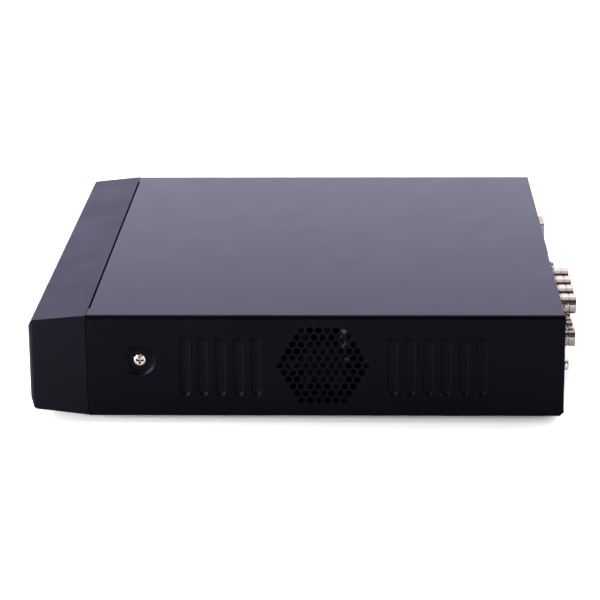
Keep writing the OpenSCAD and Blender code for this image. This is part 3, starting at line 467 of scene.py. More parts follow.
def make_finishes():
    """One material for each of the record's slots."""
    steel = {"metallic": 1.0, "vary": 0.05, "grain": (2500, 0.003)}
    return {
        "cover_paint": finish("cover_powder_coat", (0.0029, 0.0027, 0.0038), 0.32, 1.0, vary=0.08,
                              vary_scale=14, rough_vary=0.01, grain=(1500, 0.0025),
                              Specular_Tint=COAT_EDGE),
        "tray_paint": finish("tray_powder_coat", (0.0034, 0.0032, 0.0045), 0.46, 1.0, vary=0.12,
                             vary_scale=18, rough_vary=0.02, grain=(1300, 0.004),
                             Specular_Tint=COAT_EDGE),
        "bezel_plastic": finish("bezel_plastic", (0.0038, 0.0036, 0.0050), 0.5, 1.0, vary=0.08,
                                vary_scale=16, rough_vary=0.02, grain=(2600, 0.005),
                                Specular_Tint=BEZEL_EDGE),
        "nickel_screw": finish("nickel_screw", (0.33, 0.28, 0.25), 0.28, **steel, vary_scale=300,
                               Specular_Tint=NICKEL_EDGE),
        "nickel_plate": finish("nickel_plate", NICKEL, 0.15, **steel, vary_scale=200,
                               Specular_Tint=NICKEL_EDGE),
        "zinc_screw": finish("zinc_screw", (0.66, 0.67, 0.70), 0.28, **steel, vary_scale=300),
        "tinned_steel": finish("tinned_steel", (0.68, 0.68, 0.69), 0.3, **steel, vary_scale=160),
        "cell_steel": finish("cell_steel", (0.72, 0.72, 0.72), 0.25, **steel, vary_scale=160),
        "drive_lid_steel": finish("drive_lid_steel", (0.60, 0.61, 0.63), 0.34, metallic=1.0,
                                  vary=0.08, vary_scale=120, stretch=(1, 0.03, 1),
                                  grain=(900, 0.004)),
        "drive_casting": finish("drive_casting", (0.48, 0.49, 0.51), 0.45, metallic=1.0, vary=0.1,
                                vary_scale=90, grain=(1100, 0.02)),
        "heatsink_aluminium": finish("heatsink_aluminium", (0.55, 0.56, 0.58), 0.38, metallic=1.0,
                                     vary=0.06, vary_scale=120, stretch=(1, 0.05, 1),
                                     grain=(900, 0.008)),
        "foot_rubber": finish("foot_rubber", (0.018, 0.018, 0.018), 0.72, vary=0.25, vary_scale=120,
                              grain=(1600, 0.02)),
        "smoked_window": finish("smoked_acrylic", (0.0030, 0.0030, 0.0040), 0.09, vary=0.1,
                                rough_vary=0.02, grain=(60, 0.004), Specular_IOR_Level=0.16),
        "clear_guide": finish("clear_acrylic", (0.86, 0.9, 0.92), 0.12, vary=0.03,
                              grain=(400, 0.004), Transmission_Weight=0.6),
        "led_resin": finish("led_resin", (0.86, 0.83, 0.68), 0.2, vary=0.05, grain=(700, 0.005),
                            Subsurface_Weight=0.2),
        "key_plastic": finish("key_plastic", (0.010, 0.010, 0.012), 0.4, vary=0.12, vary_scale=80,
                              grain=(2600, 0.007), Specular_IOR_Level=0.22),
        "switch_plastic": finish("switch_plastic", (0.02, 0.02, 0.02), 0.4, grain=(1500, 0.01)),
        "circuit_board": board_finish("green_board", (0.006, 0.085, 0.03), (0.03, 0.2, 0.08)),
        "drive_circuit_board": board_finish("blue_board", (0.006, 0.04, 0.13), (0.03, 0.1, 0.26)),
        "ribbon_insulation": finish("ribbon_insulation", (0.56, 0.56, 0.52), 0.5, vary=0.08,
                                    stretch=(1, 0.02, 0.02), grain=(790, 0.15)),
        "black_plastic": finish("black_plastic", (0.014, 0.014, 0.015), 0.42, vary=0.15,
                                vary_scale=90, grain=(1500, 0.012)),
        "chip_epoxy": finish("chip_epoxy", (0.017, 0.017, 0.018), 0.6, vary=0.15, vary_scale=200,
                             grain=(3000, 0.01)),
        "capacitor_sleeve": finish("capacitor_sleeve", (0.02, 0.022, 0.06), 0.25, vary=0.1,
                                   vary_scale=100, grain=(400, 0.01)),
        "white_nylon": finish("white_nylon", (0.72, 0.70, 0.62), 0.5, vary=0.05, grain=(900, 0.01),
                              Subsurface_Weight=0.1),
        "white_insulator": finish("white_insulator", (0.80, 0.80, 0.77), 0.35, vary=0.04,
                                  grain=(1200, 0.006), Subsurface_Weight=0.1),
        "gold_contact": finish("gold_contact", (0.90, 0.63, 0.26), 0.22, metallic=1.0, vary=0.06,
                               vary_scale=300, grain=(2500, 0.002)),
        "red_plastic": finish("red_plastic", (0.50, 0.016, 0.012), 0.28, vary=0.08, vary_scale=120,
                              grain=(1200, 0.006)),
        "blue_plastic": finish("blue_plastic", (0.010, 0.035, 0.26), 0.42, vary=0.1, vary_scale=120,
                               grain=(1500, 0.01)),
        "rocker_plastic": finish("rocker_plastic", (0.008, 0.008, 0.009), 0.2, vary=0.15,
                                 vary_scale=90, grain=(900, 0.004)),
        "fan_plastic": finish("fan_plastic", (0.0016, 0.0015, 0.0022), 0.5, 0.5, vary=0.15,
                              vary_scale=70, grain=(900, 0.01), Specular_IOR_Level=0.05,
                              Specular_Tint=COAT_EDGE),
        "copper_winding": finish("copper_winding", (0.72, 0.26, 0.09), 0.3, metallic=1.0, vary=0.15,
                                 vary_scale=200, stretch=(0.1, 1, 1), grain=(1800, 0.1)),
        "red_insulation": finish("red_insulation", (0.42, 0.014, 0.012), 0.42, vary=0.08,
                                 vary_scale=60, grain=(700, 0.02)),
        "yellow_insulation": finish("yellow_insulation", (0.62, 0.36, 0.014), 0.45, vary=0.08,
                                    vary_scale=60, grain=(700, 0.02)),
    }


FINISH = make_finishes()
SLOT_OF = {part["node"]: part["material_slot"] for part in frame["record"]["subparts"]}
BODY_OF = {node: obj["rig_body"] for node, obj in frame["nodes"].items()}
for node, obj in frame["nodes"].items():
    obj.data.materials.clear()
    obj.data.materials.append(FINISH[SLOT_OF[node]])


# ---------------------------------------------------------------- cover: one folded sheet

COVER_LOW, COVER_HIGH = (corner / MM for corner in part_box("top_cover"))
HALF_W = COVER_HIGH.x
Z_BASE = COVER_LOW.z
Z_TOP = COVER_HIGH.z
Y_SEAM = COVER_LOW.y
Y_REAR = COVER_HIGH.y
SHEET = 1.0
EDGE_R = 1.8
LAP_R = 1.0
LAP_ARC = LAP_R * math.pi / 2
LAP_W = 14
TOP_SHORT = 0.4
GAP_W = 0.9
GAP_HALF = HALF_W - 12
SIDE_GAP = 0.16
CORNER_CUT = 1.8
RELIEF = 0.12
SLOT_PITCH = 8
SLOT_W, SLOT_LEN, SLOT_DEPTH = 4.8, 27, 0.8
SLOT_Z = Z_BASE + 23
SLOTS_Y = ([Y_SEAM + 43.8 + k * SLOT_PITCH for k in range(5)]
           + [Y_SEAM + 137.1 + k * SLOT_PITCH for k in range(6)])
VENT_Y, VENT_Z = Y_SEAM + 106.3, Z_BASE + 23.8
VENT_PITCH, VENT_ROW, VENT_HOLE, VENT_MIDDLE = 3.88, 3.3, 2.9, 11
VENT_RIM, VENT_DIP = 0.26, 0.05
SCREW_Y, SCREW_Z = Y_SEAM + 23.9, Z_BASE + 26.2
REAR_SCREW_IN, REAR_SCREW_Z = 8, Z_BASE + 22
TAB_X, TAB_HALF, TAB_LEN = 33, 8, 8.2
TAB_SCREW_DOWN = Z_TOP - (Z_BASE + 42.4)
HOLE_R = 1.8

# Lengths along the unrolled sheet, from its middle: where the top ends, where the side starts,
# and the side's lower edge
U_TOP = HALF_W - EDGE_R
U_SIDE = U_TOP + EDGE_R * math.pi / 2
U_EDGE = U_SIDE + Z_TOP - EDGE_R - Z_BASE


def side_u(z):
    """The unrolled place of a height on a side wall."""
    return U_SIDE + Z_TOP - EDGE_R - z


# The rear laps' upper and lower ends along the sheet, and the slack in telling what is on a flap
U_LAP_TOP = side_u(Z_TOP - 4)
U_LAP_LOW = U_EDGE - 3
FLAP_SLACK = 0.01


class FlatSheet:
    """Points, heights and lines of the unrolled sheet before it is triangulated."""

    def __init__(self):
        self.points = []
        self.heights = []
        self.hole_of = []
        self.lines = []
        self.holes = 0

    def loop(self, points, height=0.0, hole=False):
        """Adds a closed outline at a height; what is inside a hole's outline is left open."""
        self.holes += hole
        first = len(self.points)
        for point in points:
            self.points.append(Vector(point))
            self.heights.append(height)
            self.hole_of.append(self.holes if hole else 0)
        count = len(points)
        self.lines += [(first + k, first + (k + 1) % count) for k in range(count)]

    def line(self, start, end):
        """Adds a line that faces must not cross, such as a bend."""
        first = len(self.points)
        self.points += [Vector(start), Vector(end)]
        self.heights += [0.0, 0.0]
        self.hole_of += [0, 0]
        self.lines.append((first, first + 1))


def round_rect(u, v, w, h, r, per_corner=7):
    """Points round a rectangle with round corners; w is along u."""
    points = []
    for turn, (su, sv) in enumerate(((1, 1), (-1, 1), (-1, -1), (1, -1))):
        for k in range(per_corner):
            angle = math.radians(90 * (turn + k / (per_corner - 1)))
            points.append((u + su * (w / 2 - r) + r * math.cos(angle),
                           v + sv * (h / 2 - r) + r * math.sin(angle)))
    return points


def ring(u, v, r, count):
    """Points round a circle."""
    return [(u + r * math.cos(2 * math.pi * k / count), v + r * math.sin(2 * math.pi * k / count))
            for k in range(count)]


def soft_hexagon(u, v, across, r, per_corner=3):
    """Points round a hexagon with soft corners, one corner along u."""
    points = []
    reach = (across / 2 - r) / math.cos(math.radians(30))
    for turn in range(6):
        middle = math.radians(60 * turn)
        for k in range(per_corner):
            angle = middle + math.radians(-30 + 60 * k / (per_corner - 1))
            points.append((u + reach * math.cos(middle) + r * math.cos(angle),
                           v + reach * math.sin(middle) + r * math.sin(angle)))
    return points


def press(sheet, outline, profile):
    """Presses nested outlines into the sheet: profile gives how far in each is and how deep."""
    for inset, depth in profile:
        sheet.loop(outline(inset), -depth)


# A gentle shoulder, a narrow steep step and a floor that is slightly hollow
SLOT_PROFILE = ((-0.85, 0), (-0.6, 0), (-0.4, 0.02), (-0.15, 0.09), (0.1, 0.19), (0.3, 0.27),
                (0.5, 0.31), (0.68, 0.33), (0.75, 0.36), (0.92, 0.63), (1.0, 0.67), (1.25, 0.71),
                (1.6, 0.76), (2.0, SLOT_DEPTH))
DIMPLE_R = 6.8
DIMPLE_DEPTH = 1.1
DIMPLE_PROFILE = ((-0.9, 0), (-0.65, 0), (-0.45, 0.03), (-0.2, 0.12), (0.1, 0.25), (0.4, 0.38),
                  (0.7, 0.46), (1.0, 0.50), (1.3, 0.52), (1.38, 0.56), (1.62, 0.98), (1.7, 1.02),
                  (2.3, 1.06), (3.2, DIMPLE_DEPTH))


def stamp_side(sheet, side):
    """Slots, vent holes and the screw dimple of one side wall."""
    for y in SLOTS_Y:
        press(sheet, lambda inset: round_rect(side * side_u(SLOT_Z), y, SLOT_LEN - 2 * inset,
                                              SLOT_W - 2 * inset, max(0.3, 2.1 - inset)),
              SLOT_PROFILE)
    screw_u = side * side_u(SCREW_Z)
    press(sheet, lambda inset: ring(screw_u, SCREW_Y, DIMPLE_R - inset, 48), DIMPLE_PROFILE)
    sheet.loop(ring(screw_u, SCREW_Y, HOLE_R, 24), -DIMPLE_DEPTH, hole=True)
    half = (VENT_MIDDLE - 1) // 2
    for row in range(-half, half + 1):
        count = VENT_MIDDLE - abs(row)
        for k in range(count):
            u = side * side_u(VENT_Z + row * VENT_ROW)
            v = VENT_Y + (k - (count - 1) / 2) * VENT_PITCH
            sheet.loop(soft_hexagon(u, v, VENT_HOLE + VENT_RIM, 0.45), 0.0)
            sheet.loop(soft_hexagon(u, v, VENT_HOLE, 0.4), -VENT_DIP, hole=True)
    lap_v = Y_REAR - LAP_R + REAR_SCREW_IN - LAP_R + LAP_ARC
    sheet.loop(ring(side * side_u(REAR_SCREW_Z), lap_v, HOLE_R, 24), 0.0, hole=True)


def cover_outline():
    """The unrolled sheet's outline, its right half first and then mirrored."""
    lap_v = Y_REAR - LAP_R + LAP_W - LAP_R + LAP_ARC
    slit_v = Y_REAR - LAP_R - RELIEF
    seam_v = Y_SEAM + SIDE_GAP
    right = [(GAP_HALF, Y_SEAM + GAP_W), (GAP_HALF + GAP_W, seam_v), (U_EDGE, seam_v),
             (U_EDGE, Y_REAR - CORNER_CUT), (U_EDGE - CORNER_CUT, Y_REAR),
             (U_LAP_LOW + RELIEF, Y_REAR), (U_LAP_LOW + RELIEF, slit_v), (U_LAP_LOW, slit_v),
             (U_LAP_LOW, lap_v), (U_LAP_TOP, lap_v), (U_LAP_TOP, slit_v),
             (U_LAP_TOP - RELIEF, slit_v), (U_LAP_TOP - RELIEF, Y_REAR), (U_SIDE, Y_REAR),
             (U_TOP, Y_REAR - TOP_SHORT)]
    left = [(-u, v) for u, v in reversed(right)]
    tab_v = Y_REAR - TOP_SHORT - LAP_R + TAB_LEN - LAP_R + LAP_ARC
    tab_slit = Y_REAR - TOP_SHORT - LAP_R - RELIEF
    top_v = Y_REAR - TOP_SHORT
    tab = [(TAB_X + TAB_HALF + RELIEF, top_v), (TAB_X + TAB_HALF + RELIEF, tab_slit),
           (TAB_X + TAB_HALF, tab_slit), (TAB_X + TAB_HALF, tab_v), (TAB_X - TAB_HALF, tab_v),
           (TAB_X - TAB_HALF, tab_slit), (TAB_X - TAB_HALF - RELIEF, tab_slit),
           (TAB_X - TAB_HALF - RELIEF, top_v)]
    return right + tab + left


def folded(u, v, height):
    """The place in space of a point of the unrolled sheet, raised outwards by a height."""
    side = 1 if u > 0 else -1
    from_middle = abs(u)
    on_top = from_middle <= U_TOP
    in_tab = on_top and abs(u - TAB_X) <= TAB_HALF + FLAP_SLACK
    in_lap = U_LAP_TOP - FLAP_SLACK <= from_middle <= U_LAP_LOW + FLAP_SLACK
    bend_v = Y_REAR - LAP_R - (TOP_SHORT if on_top else 0)
    inward, lean = 0.0, 0.0
    if v > bend_v and (in_tab or in_lap):
        beyond = v - bend_v
        lean = min(beyond / LAP_R, math.pi / 2)
        straight = max(0.0, beyond - LAP_ARC)
        v = bend_v + LAP_R * math.sin(lean)
        inward = LAP_R * (1 - math.cos(lean)) + straight
    v += height * math.sin(lean)
    out = height * math.cos(lean) - inward
    if on_top:
        return Vector((u, v, Z_TOP + out))
    if from_middle <= U_SIDE:
        turn = (from_middle - U_TOP) / EDGE_R
        reach = EDGE_R + out
        return Vector((side * (U_TOP + reach * math.sin(turn)), v,
                       Z_TOP - EDGE_R + reach * math.cos(turn)))
    return Vector((side * (HALF_W + out), v, Z_TOP - EDGE_R - (from_middle - U_SIDE)))


def inside(point, outline):
    """Whether a point is inside an outline."""
    crossings = 0
    for (ax, ay), (bx, by) in zip(outline, outline[1:] + outline[:1]):
        if (ay > point[1]) != (by > point[1]):
            crossings += point[0] < ax + (point[1] - ay) * (bx - ax) / (by - ay)
    return crossings % 2 == 1


def make_cover():
    """Draws the cover's flat sheet with its stamps, fills it with faces and folds it."""
    sheet = FlatSheet()
    outline = cover_outline()
    sheet.loop(outline)
    guard = 0.4
    bends = [U_TOP - guard, U_SIDE + guard]
    bends += [U_TOP + (U_SIDE - U_TOP) * k / 6 for k in range(7)]
    for side in (-1, 1):
        for u in bends:
            sheet.line((side * u, Y_SEAM - 1), (side * u, Y_REAR + 1))
        stamp_side(sheet, side)
        for k in range(-1, 6):
            v = Y_REAR - LAP_R + LAP_ARC * k / 4
            sheet.line((side * (U_LAP_TOP - 1), v), (side * (U_EDGE - 2), v))
    for k in range(-1, 6):
        v = Y_REAR - TOP_SHORT - LAP_R + LAP_ARC * k / 4
        sheet.line((TAB_X - TAB_HALF - 1, v), (TAB_X + TAB_HALF + 1, v))
    tab_hole_v = Y_REAR - TOP_SHORT - 2 * LAP_R + LAP_ARC + TAB_SCREW_DOWN
    sheet.loop(ring(TAB_X, tab_hole_v, HOLE_R, 24), 0.0, hole=True)
    points, _, faces, origins, _, _ = delaunay_2d_cdt(sheet.points, sheet.lines, [], 0, 1e-5)
    bm = bmesh.new()
    heights = [sheet.heights[origin[0]] if origin else 0.0 for origin in origins]
    holes = [sheet.hole_of[origin[0]] if origin else 0 for origin in origins]
    verts = [bm.verts.new(folded(point.x, point.y, heights[k]) * MM)
             for k, point in enumerate(points)]
    for face in faces:
        centre = sum((points[k] for k in face), Vector((0, 0))) / len(face)
        hole = holes[face[0]]
        if hole and all(holes[k] == hole for k in face):
            continue
        if inside(centre, outline):
            bm.faces.new([verts[k] for k in face])
    bmesh.ops.delete(bm, geom=[v for v in bm.verts if not v.link_faces], context="VERTS")
    thicken(bm, SHEET * MM)
    stand_in("top_cover", bm, "cover_sheet", sharp=40)


def thicken(bm, thickness):
    """Gives an open surface a back wall and a rim, behind its face normals."""
    bm.normal_update()
    front = bm.verts[:]
    faces = bm.faces[:]
    rim = [edge for edge in bm.edges if len(edge.link_faces) == 1]
    rim_pairs = [(edge.verts[0], edge.verts[1], edge.link_faces[0]) for edge in rim]
    back = {vert: bm.verts.new(vert.co - vert.normal * thickness * vert.calc_shell_factor())
            for vert in front}
    for face in faces:
        bm.faces.new([back[vert] for vert in reversed(face.verts)])
    for a, b, face in rim_pairs:
        order = list(face.verts)
        if order[(order.index(a) + 1) % len(order)] is b:
            a, b = b, a
        bm.faces.new([a, b, back[b], back[a]])


# ---------------------------------------------------------------- screws

def screw_mesh(head_r, head_h, shank_r, shank_len):
    """A pan head screw with a cross recess and ring threads; the head sits on the XY plane."""
    dome = [(0, 1), (0.35, 0.995), (0.6, 0.98), (0.78, 0.92), (0.9, 0.8), (0.97, 0.6), (1, 0.35),
            (1, 0.12), (0.96, 0)]
    plain, pitch, root = 0.3, 0.6, shank_r * 0.8
    thread = ((root, 0.18), (root, 0.3), (shank_r, 0.48), (shank_r, pitch))
    profile = [(r * head_r, h * head_h) for r, h in dome] + [(shank_r, 0), (shank_r, -plain)]
    depth = plain
    while depth < shank_len - 1:
        profile += [(r, -depth - down) for r, down in thread]
        depth += pitch
    profile += [(root, -shank_len + 0.15), (shank_r * 0.55, -shank_len), (0, -shank_len)]
    deep = max(head_h * 0.9, 1.3)
    cutters = [as_mesh(lathe([(0, head_h + 0.1), (head_r * 0.36, head_h + 0.1),
                              (head_r * 0.14, head_h * 0.25), (0, head_h * 0.2)], 16))]
    for turn in (0, 90):
        blade = bmesh.new()
        reach, half = head_r * 0.7, head_r * 0.19
        top, low = ([blade.verts.new(Vector((sx * x, sy * y, z)) * MM)
                     for sx, sy in ((1, 1), (-1, 1), (-1, -1), (1, -1))]
                    for x, y, z in ((reach, half * 1.15, head_h + 0.1),
                                    (reach * 0.6, half * 0.25, head_h - deep)))
        blade.faces.new(top)
        blade.faces.new(low)
        for k in range(4):
            blade.faces.new((top[k], top[(k + 1) % 4], low[(k + 1) % 4], low[k]))
        bmesh.ops.transform(blade, matrix=Matrix.Rotation(math.radians(turn), 4, "Z"),
                            verts=blade.verts[:])
        cutters.append(as_mesh(blade))
    return carve(as_mesh(lathe(profile, 32)), cutters)


# Heads: the way they face, radius, height and shank radius
SCREWS = {
    "cover_side_screws": (None, 2.75, 1.0, 1.45),
    "cover_rear_screws": (Y_AXIS, 2.75, 2.3, 1.45),
    "front_board_screws": (Y_AXIS, 2.2, 1.5, 1.05),
    "board_screws": (Z_AXIS, 2.75, 1.9, 1.45),
    "fan_screws": (-X_AXIS, 2.6, 1.8, 1.45),
    "drive_screws": (-Z_AXIS, 3.4, 2.0, 1.45),
}


def make_screws():
    """Detailed screws in the places of the CAD ones, their recesses turned by uneven amounts."""
    for node, (facing, head_r, head_h, shank_r) in SCREWS.items():
        parts = []
        for k, (low, high) in enumerate(islands(node)):
            axis = facing or (X_AXIS if low.x > 0 else -X_AXIS)
            middle, reach = (low + high) / 2, abs((high - low).dot(axis))
            if k == 0:
                mesh = screw_mesh(head_r, head_h, shank_r, reach - head_h)
            turned = Matrix.Rotation(math.radians(40 * (k - 1)), 4, "Z")
            parts.append((mesh, along(axis, middle + axis * (reach / 2 - head_h)) @ turned))
        stand_in(node, gather(parts), sharp=30)


# ---------------------------------------------------------------- rear sockets

def make_camera_sockets():
    """Turned barrels with two grooves, a chamfered rim, a bore and two bayonet lugs."""
    length, barrel, bore, collar = 13.4, 4.8, 4.1, 2.1
    groove, deep = 0.6, 0.3
    tip_groove = length - 3.2
    profile = [(0, 0), (6, 0), (6, collar), (barrel, collar)]
    for top in (tip_groove - 3.8, tip_groove):
        profile += [(barrel, top - groove), (barrel - deep, top - groove), (barrel - deep, top),
                    (barrel, top)]
    profile += [(barrel, length), (bore, length), (bore, 1), (0, 1)]
    barrel_mesh = as_mesh(lathe(round_corners(profile, 0.16, steps=3), 64))
    lug = as_mesh(lathe([(0, 0), (1, 0), (1, 0.75), (0.92, 1.0), (0.7, 1.15), (0.4, 1.2), (0, 1.2)],
                        24))
    parts = []
    for low, high in islands("camera_socket_barrels"):
        place = along(Y_AXIS, ((low.x + high.x) / 2, low.y, (low.z + high.z) / 2))
        parts.append((barrel_mesh, place))
        for side in (-1, 1):
            parts.append((lug, place @ along(X_AXIS * side, (side * 4.3, 0, tip_groove - 2))))
    stand_in("camera_socket_barrels", gather(parts), sharp=50)


def make_monitor_shell():
    """The D-shaped rim of the monitor socket, with round corners."""
    low, high = (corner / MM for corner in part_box("monitor_socket_shell"))
    half_w, half_h, wall, slant = (high.x - low.x) / 2, (high.z - low.z) / 2, 0.5, 1.2
    middle, length = (low + high) / 2, high.y - low.y
    rings = []
    for inset, height, radius in ((0, 0, 1.3), (0, length - 0.15, 1.3), (0.12, length, 1.2),
                                  (wall - 0.12, length, 0.9), (wall, length - 0.15, 0.8),
                                  (wall, 0, 0.8)):
        w, h = half_w - inset, half_h - inset
        corners = [(-w, h), (w, h), (w - slant, -h), (-w + slant, -h)]
        rings.append([Vector((x, height - length / 2, z)) for x, z in
                      round_corners(corners, radius, closed=True, steps=6)])
    bm = bmesh.new()
    rows = [[bm.verts.new((middle + point) * MM) for point in points] for points in rings]
    for row, after in zip(rows, rows[1:] + rows[:1]):
        for k in range(len(row)):
            follow = (k + 1) % len(row)
            bm.faces.new((row[k], row[follow], after[follow], after[k]))
    stand_in("monitor_socket_shell", bm, sharp=45)


# ---------------------------------------------------------------- feet, capacitors and chips

def make_feet():
    """Round rubber feet, hollowed a little underneath."""
    foot = as_mesh(lathe([(0, 0.7), (2.6, 0.7), (2.9, 0.6), (3.3, 0.12), (3.7, 0), (6.2, 0),
                          (6.75, 0.12), (7.05, 0.5), (7.7, 3.1), (7.72, 3.35), (7.5, 3.5),
                          (0, 3.5)]))
    parts = [(foot, along(Z_AXIS, ((low.x + high.x) / 2, (low.y + high.y) / 2, low.z)))
             for low, high in islands("rubber_feet")]
    stand_in("rubber_feet", gather(parts), sharp=30)


def make_capacitors():
    """Sleeved cans with a crimp near the board and a bare top with a pressed cross."""
    sleeves, tops = [], []
    for low, high in islands("board_capacitors"):
        radius, height = (high.x - low.x) / 2 - 0.2, high.z - low.z
        place = along(Z_AXIS, ((low.x + high.x) / 2, (low.y + high.y) / 2, low.z))
        profile = [(0, 0), (radius + 0.2, 0), (radius + 0.2, 0.9), (radius, 1.1), (radius, 1.5),
                   (radius - 0.35, 1.9), (radius - 0.35, 2.1), (radius, 2.5),
                   (radius, height - 0.4), (radius - 0.12, height - 0.1), (radius - 0.5, height),
                   (radius - 0.8, height), (radius - 0.9, height - 0.3), (0, height - 0.3)]
        sleeves.append((as_mesh(lathe(profile, 40)), place))
        can = radius - 0.95
        disc = as_mesh(lathe([(0, height - 0.6), (can, height - 0.6), (can, height - 0.15),
                              (can - 0.1, height - 0.08), (0, height - 0.08)], 40))
        cutters = []
        for turn in (0, 90):
            groove = prism(((-can * 0.7, -0.1), (can * 0.7, -0.1), (can * 0.7, 0.1),
                            (-can * 0.7, 0.1)), 1)
            bmesh.ops.transform(groove, verts=groove.verts[:],
                                matrix=Matrix.Translation((0, 0, (height - 0.2) * MM))
                                @ Matrix.Rotation(math.radians(turn + 20), 4, "Z"))
            cutters.append(as_mesh(groove))
        tops.append((carve(disc, cutters), place))
    stand_in("board_capacitors", gather(sleeves), sharp=40)
    add_piece("capacitor_tops", smooth_mesh(gather(tops), "capacitor_tops"), CASE, (), "cell_steel")


def make_chip_pins():
    """Bent pins along the longer edges of the chips, or round the square ones."""
    pitch, width, longest_chip = 0.65, 0.26, 25
    foot = [(-0.1, 0.75), (0.35, 0.75), (0.55, 0.6), (0.75, 0.12), (1.15, 0.12), (1.15, 0),
            (0.65, 0), (0.45, 0.5), (0.3, 0.63), (-0.1, 0.63)]
    pin = as_mesh(prism(foot, width))
    parts = []
    for low, high in islands("board_chips"):
        size, middle = high - low, (low + high) / 2
        if size.x > longest_chip:
            continue
        for turn in range(4):
            across, deep = (size.y, size.x) if turn % 2 == 0 else (size.x, size.y)
            if across < deep - 0.5:
                continue
            count = int((across - 1.2) / pitch)
            frame_turn = Matrix.Rotation(math.radians(90 * turn), 4, "Z")
            for k in range(count):
                shift = (k - (count - 1) / 2) * pitch
                local = (Matrix.Translation(Vector((deep / 2, shift + width / 2, 0)) * MM)
                         @ Matrix.Rotation(math.radians(90), 4, "X"))
                parts.append((pin, Matrix.Translation(Vector((middle.x, middle.y, low.z)) * MM)
                              @ frame_turn @ local))
    add_piece("chip_pins", smooth_mesh(gather(parts), "chip_pins", 30), CASE, (), "tinned_steel")


# ---------------------------------------------------------------- fan

def make_fan_rotor():
    """A cup-shaped hub with seven swept, cambered blades, turned to face the vent."""
    hub_r, tip_r, blades = 9.8, 18.3, 7
    cup = [(0, 0.6), (9.1, 0.6), (9.6, 0.8), (hub_r, 1.3), (hub_r, 7.8), (9.6, 8), (8.8, 8),
           (8.6, 7.8), (8.6, 1.8), (1, 1.8), (1, 9.3), (0.8, 9.5), (0, 9.5)]
    parts = [(as_mesh(lathe(cup, 64)), Matrix.Identity(4))]
    stations, steps = 9, 9
    bm = bmesh.new()
    loops = []
    for station in range(stations + 1):
        t = station / stations
        radius = hub_r - 0.5 + (tip_r - hub_r + 0.5) * t
        chord = 8.6 + 1.2 * t - 1.8 * max(0, t - 0.85) / 0.15 * 0.4
        pitch = math.radians(46 - 14 * t)
        sweep = 0.1 + 0.16 * t * t
        upper, lower = [], []
        for step in range(steps + 1):
            s = step / steps
            along_chord = (s - 0.5) * chord
            camber = 0.07 * chord * (1 - (2 * s - 1) ** 2)
            half = 0.12 + 0.36 * math.sqrt(max(0.0, math.sin(math.pi * s)))
            for side, row in ((1, upper), (-1, lower)):
                normal = camber + side * half
                tangent = along_chord * math.cos(pitch) - normal * math.sin(pitch)
                height = 4.3 + along_chord * math.sin(pitch) + normal * math.cos(pitch)
                angle = sweep + tangent / radius
                row.append(Vector((radius * math.cos(angle), radius * math.sin(angle),
                                   min(8.1, max(0.5, height)))) * MM)
        loops.append([bm.verts.new(point) for point in upper + lower[::-1]])
    for row, after in zip(loops, loops[1:]):
        for k in range(len(row)):
            follow = (k + 1) % len(row)
            bm.faces.new((row[k], row[follow], after[follow], after[k]))
    bm.faces.new(loops[0])
    bm.faces.new(loops[-1])
    blade = as_mesh(bm)
    parts += [(blade, Matrix.Rotation(2 * math.pi * k / blades, 4, "Z")) for k in range(blades)]
    low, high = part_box("fan_stator")
    middle = (low + high) / 2 / MM
    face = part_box("fan_frame")[0].x / MM
    place = (Matrix.Translation(Vector((face, middle.y, middle.z)) * MM)
             @ Matrix.Rotation(math.radians(90), 4, "Y"))
    stand_in("fan_rotor", gather([(mesh, place @ matrix) for mesh, matrix in parts]), sharp=40)


# ---------------------------------------------------------------- bezel and keys

def make_bezel():
    """The CAD bezel with softly rounded outer edges and crisper recess edges."""
    bm = node_bmesh("front_bezel")
    low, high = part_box("front_bezel")

    def outer(edge):
        """A long convex edge of the bezel's outline or front, away from the cover."""
        middle = (edge.verts[0].co + edge.verts[1].co) / 2
        length = edge.calc_length()
        if not edge.is_convex or middle.y > high.y - 6 * MM or length < 5 * MM:
            return False
        return (abs(middle.x) > high.x - 5 * MM or middle.z > high.z - 7 * MM
                or middle.z < low.z + 9 * MM) and middle.y < low.y + 27 * MM

    def at_seam(edge):
        """An edge that lies on the seam with the cover."""
        return all(abs(vert.co.y - seam) < 0.05 * MM for vert in edge.verts)

    def in_front(edge):
        """An edge on the bezel's front wall."""
        return max(vert.co.y for vert in edge.verts) < low.y + 3 * MM

    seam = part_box("top_cover")[0].y
    round_edges(bm, 60, 0.3, 2, at_seam)
    round_edges(bm, 12, 0.7, 4, outer)
    round_edges(bm, 60, 0.2, 2, in_front)
    stand_in("front_bezel", bm, sharp=40)


# The middles of the marks on the arrow keys, in X and Z, and the thickness of every mark
ARROW_X, FACE_Z, ARROW_STEP = 70, 27.85, 9
KEY_MARK_PLACE = {
    "key_up": (ARROW_X, FACE_Z + ARROW_STEP), "key_down": (ARROW_X, FACE_Z - ARROW_STEP),
    "key_left": (ARROW_X - ARROW_STEP, FACE_Z), "key_right": (ARROW_X + ARROW_STEP, FACE_Z),
}
MARK_T = 0.05


def print_on_key(node, outlines):
    """Thin white marks on a key's face; the outlines are in X and Z from the key's middle."""
    low, high = (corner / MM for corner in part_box(node))
    if node in KEY_MARK_PLACE:
        x, z = KEY_MARK_PLACE[node]
    else:
        x, z = (low.x + high.x) / 2, (low.z + high.z) / 2
    place = along(-Y_AXIS, (x, low.y + 0.02, z))
    parts = [(as_mesh(prism(outline, MARK_T)), place) for outline in outlines]
    name = node + "_mark"
    mark = bpy.data.objects.new(name, smooth_mesh(gather(parts), name, 30))
    scene.collection.objects.link(mark)
    mark.data.materials.append(KEY_INK)
    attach(mark, BODY_OF[node])


def turned(outline, degrees):
    """An outline turned about its origin."""
    angle = math.radians(degrees)
    return [(x * math.cos(angle) - y * math.sin(angle), x * math.sin(angle) + y * math.cos(angle))
            for x, y in outline]


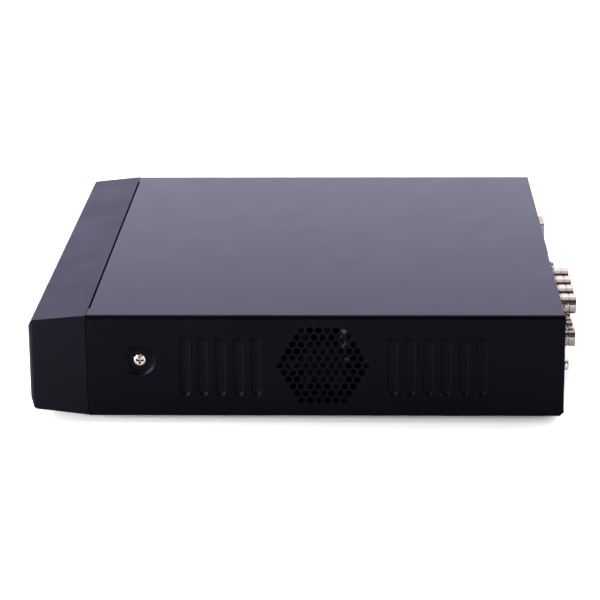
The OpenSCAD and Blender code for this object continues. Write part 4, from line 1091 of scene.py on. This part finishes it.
def make_keys():
    """Keys with rounded edges, each with its mark."""
    triangle = round_corners([(-1.3, -0.8), (1.3, -0.8), (0, 1.2)], 0.25, closed=True)
    bar = [(-1.8, -0.2), (1.8, -0.2), (1.8, 0.2), (-1.8, 0.2)]
    marks = {
        "key_up": [triangle],
        "key_down": [turned(triangle, 180)],
        "key_left": [turned(triangle, 90)],
        "key_right": [turned(triangle, -90)],
        "key_ok": [arc(0, 0, 1.1, 0, 345, 23)],
        "key_menu": [[(x, y + shift) for x, y in bar] for shift in (-1.1, 0, 1.1)],
        "key_record": [arc(0, 0, 1.3, 0, 345, 23)],
        "key_play": [turned(triangle, -90)],
    }
    for node, outlines in marks.items():
        refine(node, 0.35, angle=40, segments=3)
        print_on_key(node, outlines)


# ---------------------------------------------------------------- everything else

# How much each of the other pieces' edges are rounded, in millimetres
SOFTEN = {
    "chassis_tray": 0.15, "fascia_window": 0.4, "light_guides": 0.2, "status_leds": 0.1,
    "key_switches": 0.15, "front_board": 0.1, "main_board": 0.1, "front_ribbon": 0.1,
    "usb_shells": 0.12, "usb_tongues": 0.15, "board_chips": 0.12, "heatsink": 0.15,
    "clock_cell": 0.2, "clock_cell_holder": 0.2, "buzzer": 0.3, "board_headers": 0.2,
    "jack_blocks": 0.3, "camera_socket_insulators": 0.15, "camera_socket_contacts": 0.08,
    "audio_socket_shells": 0.2, "audio_socket_inserts": 0.2, "monitor_socket_insert": 0.1,
    "monitor_socket_nuts": 0.2, "hdmi_shell": 0.08, "hdmi_tongue": 0.1, "lan_shell": 0.08,
    "lan_insert": 0.15, "power_inlet": 0.2, "power_inlet_pin": 0.15, "power_switch_case": 0.3,
    "power_switch_rocker": 0.4, "fan_frame": 0.25, "fan_stator": 0.2, "fan_lead": 0,
    "drive_base": 0.4, "drive_lid": 0.3, "drive_board": 0.1, "drive_data_cable": 0,
    "drive_power_cable": 0,
}


def make_stage():
    """A pale floor out to the horizon."""
    mesh = bpy.data.meshes.new("floor")
    reach = 12
    corners = [(-reach, -reach, 0), (reach, -reach, 0), (reach, reach, 0), (-reach, reach, 0)]
    mesh.from_pydata(corners, [], [(0, 1, 2, 3)])
    floor = bpy.data.objects.new("floor", mesh)
    scene.collection.objects.link(floor)
    mesh.materials.append(finish("floor_paint", (0.93, 0.93, 0.93), 0.7, vary=0.01, vary_scale=3,
                                 grain=None))


KEY_INK = finish("key_ink", (0.62, 0.62, 0.64), 0.5, vary=0.04, vary_scale=200)

make_cover()
make_screws()
make_camera_sockets()
make_monitor_shell()
make_feet()
make_capacitors()
make_chip_pins()
make_fan_rotor()
make_bezel()
make_keys()
for node, bevel in SOFTEN.items():
    refine(node, bevel)

make_camera()
make_stage()
make_lights()
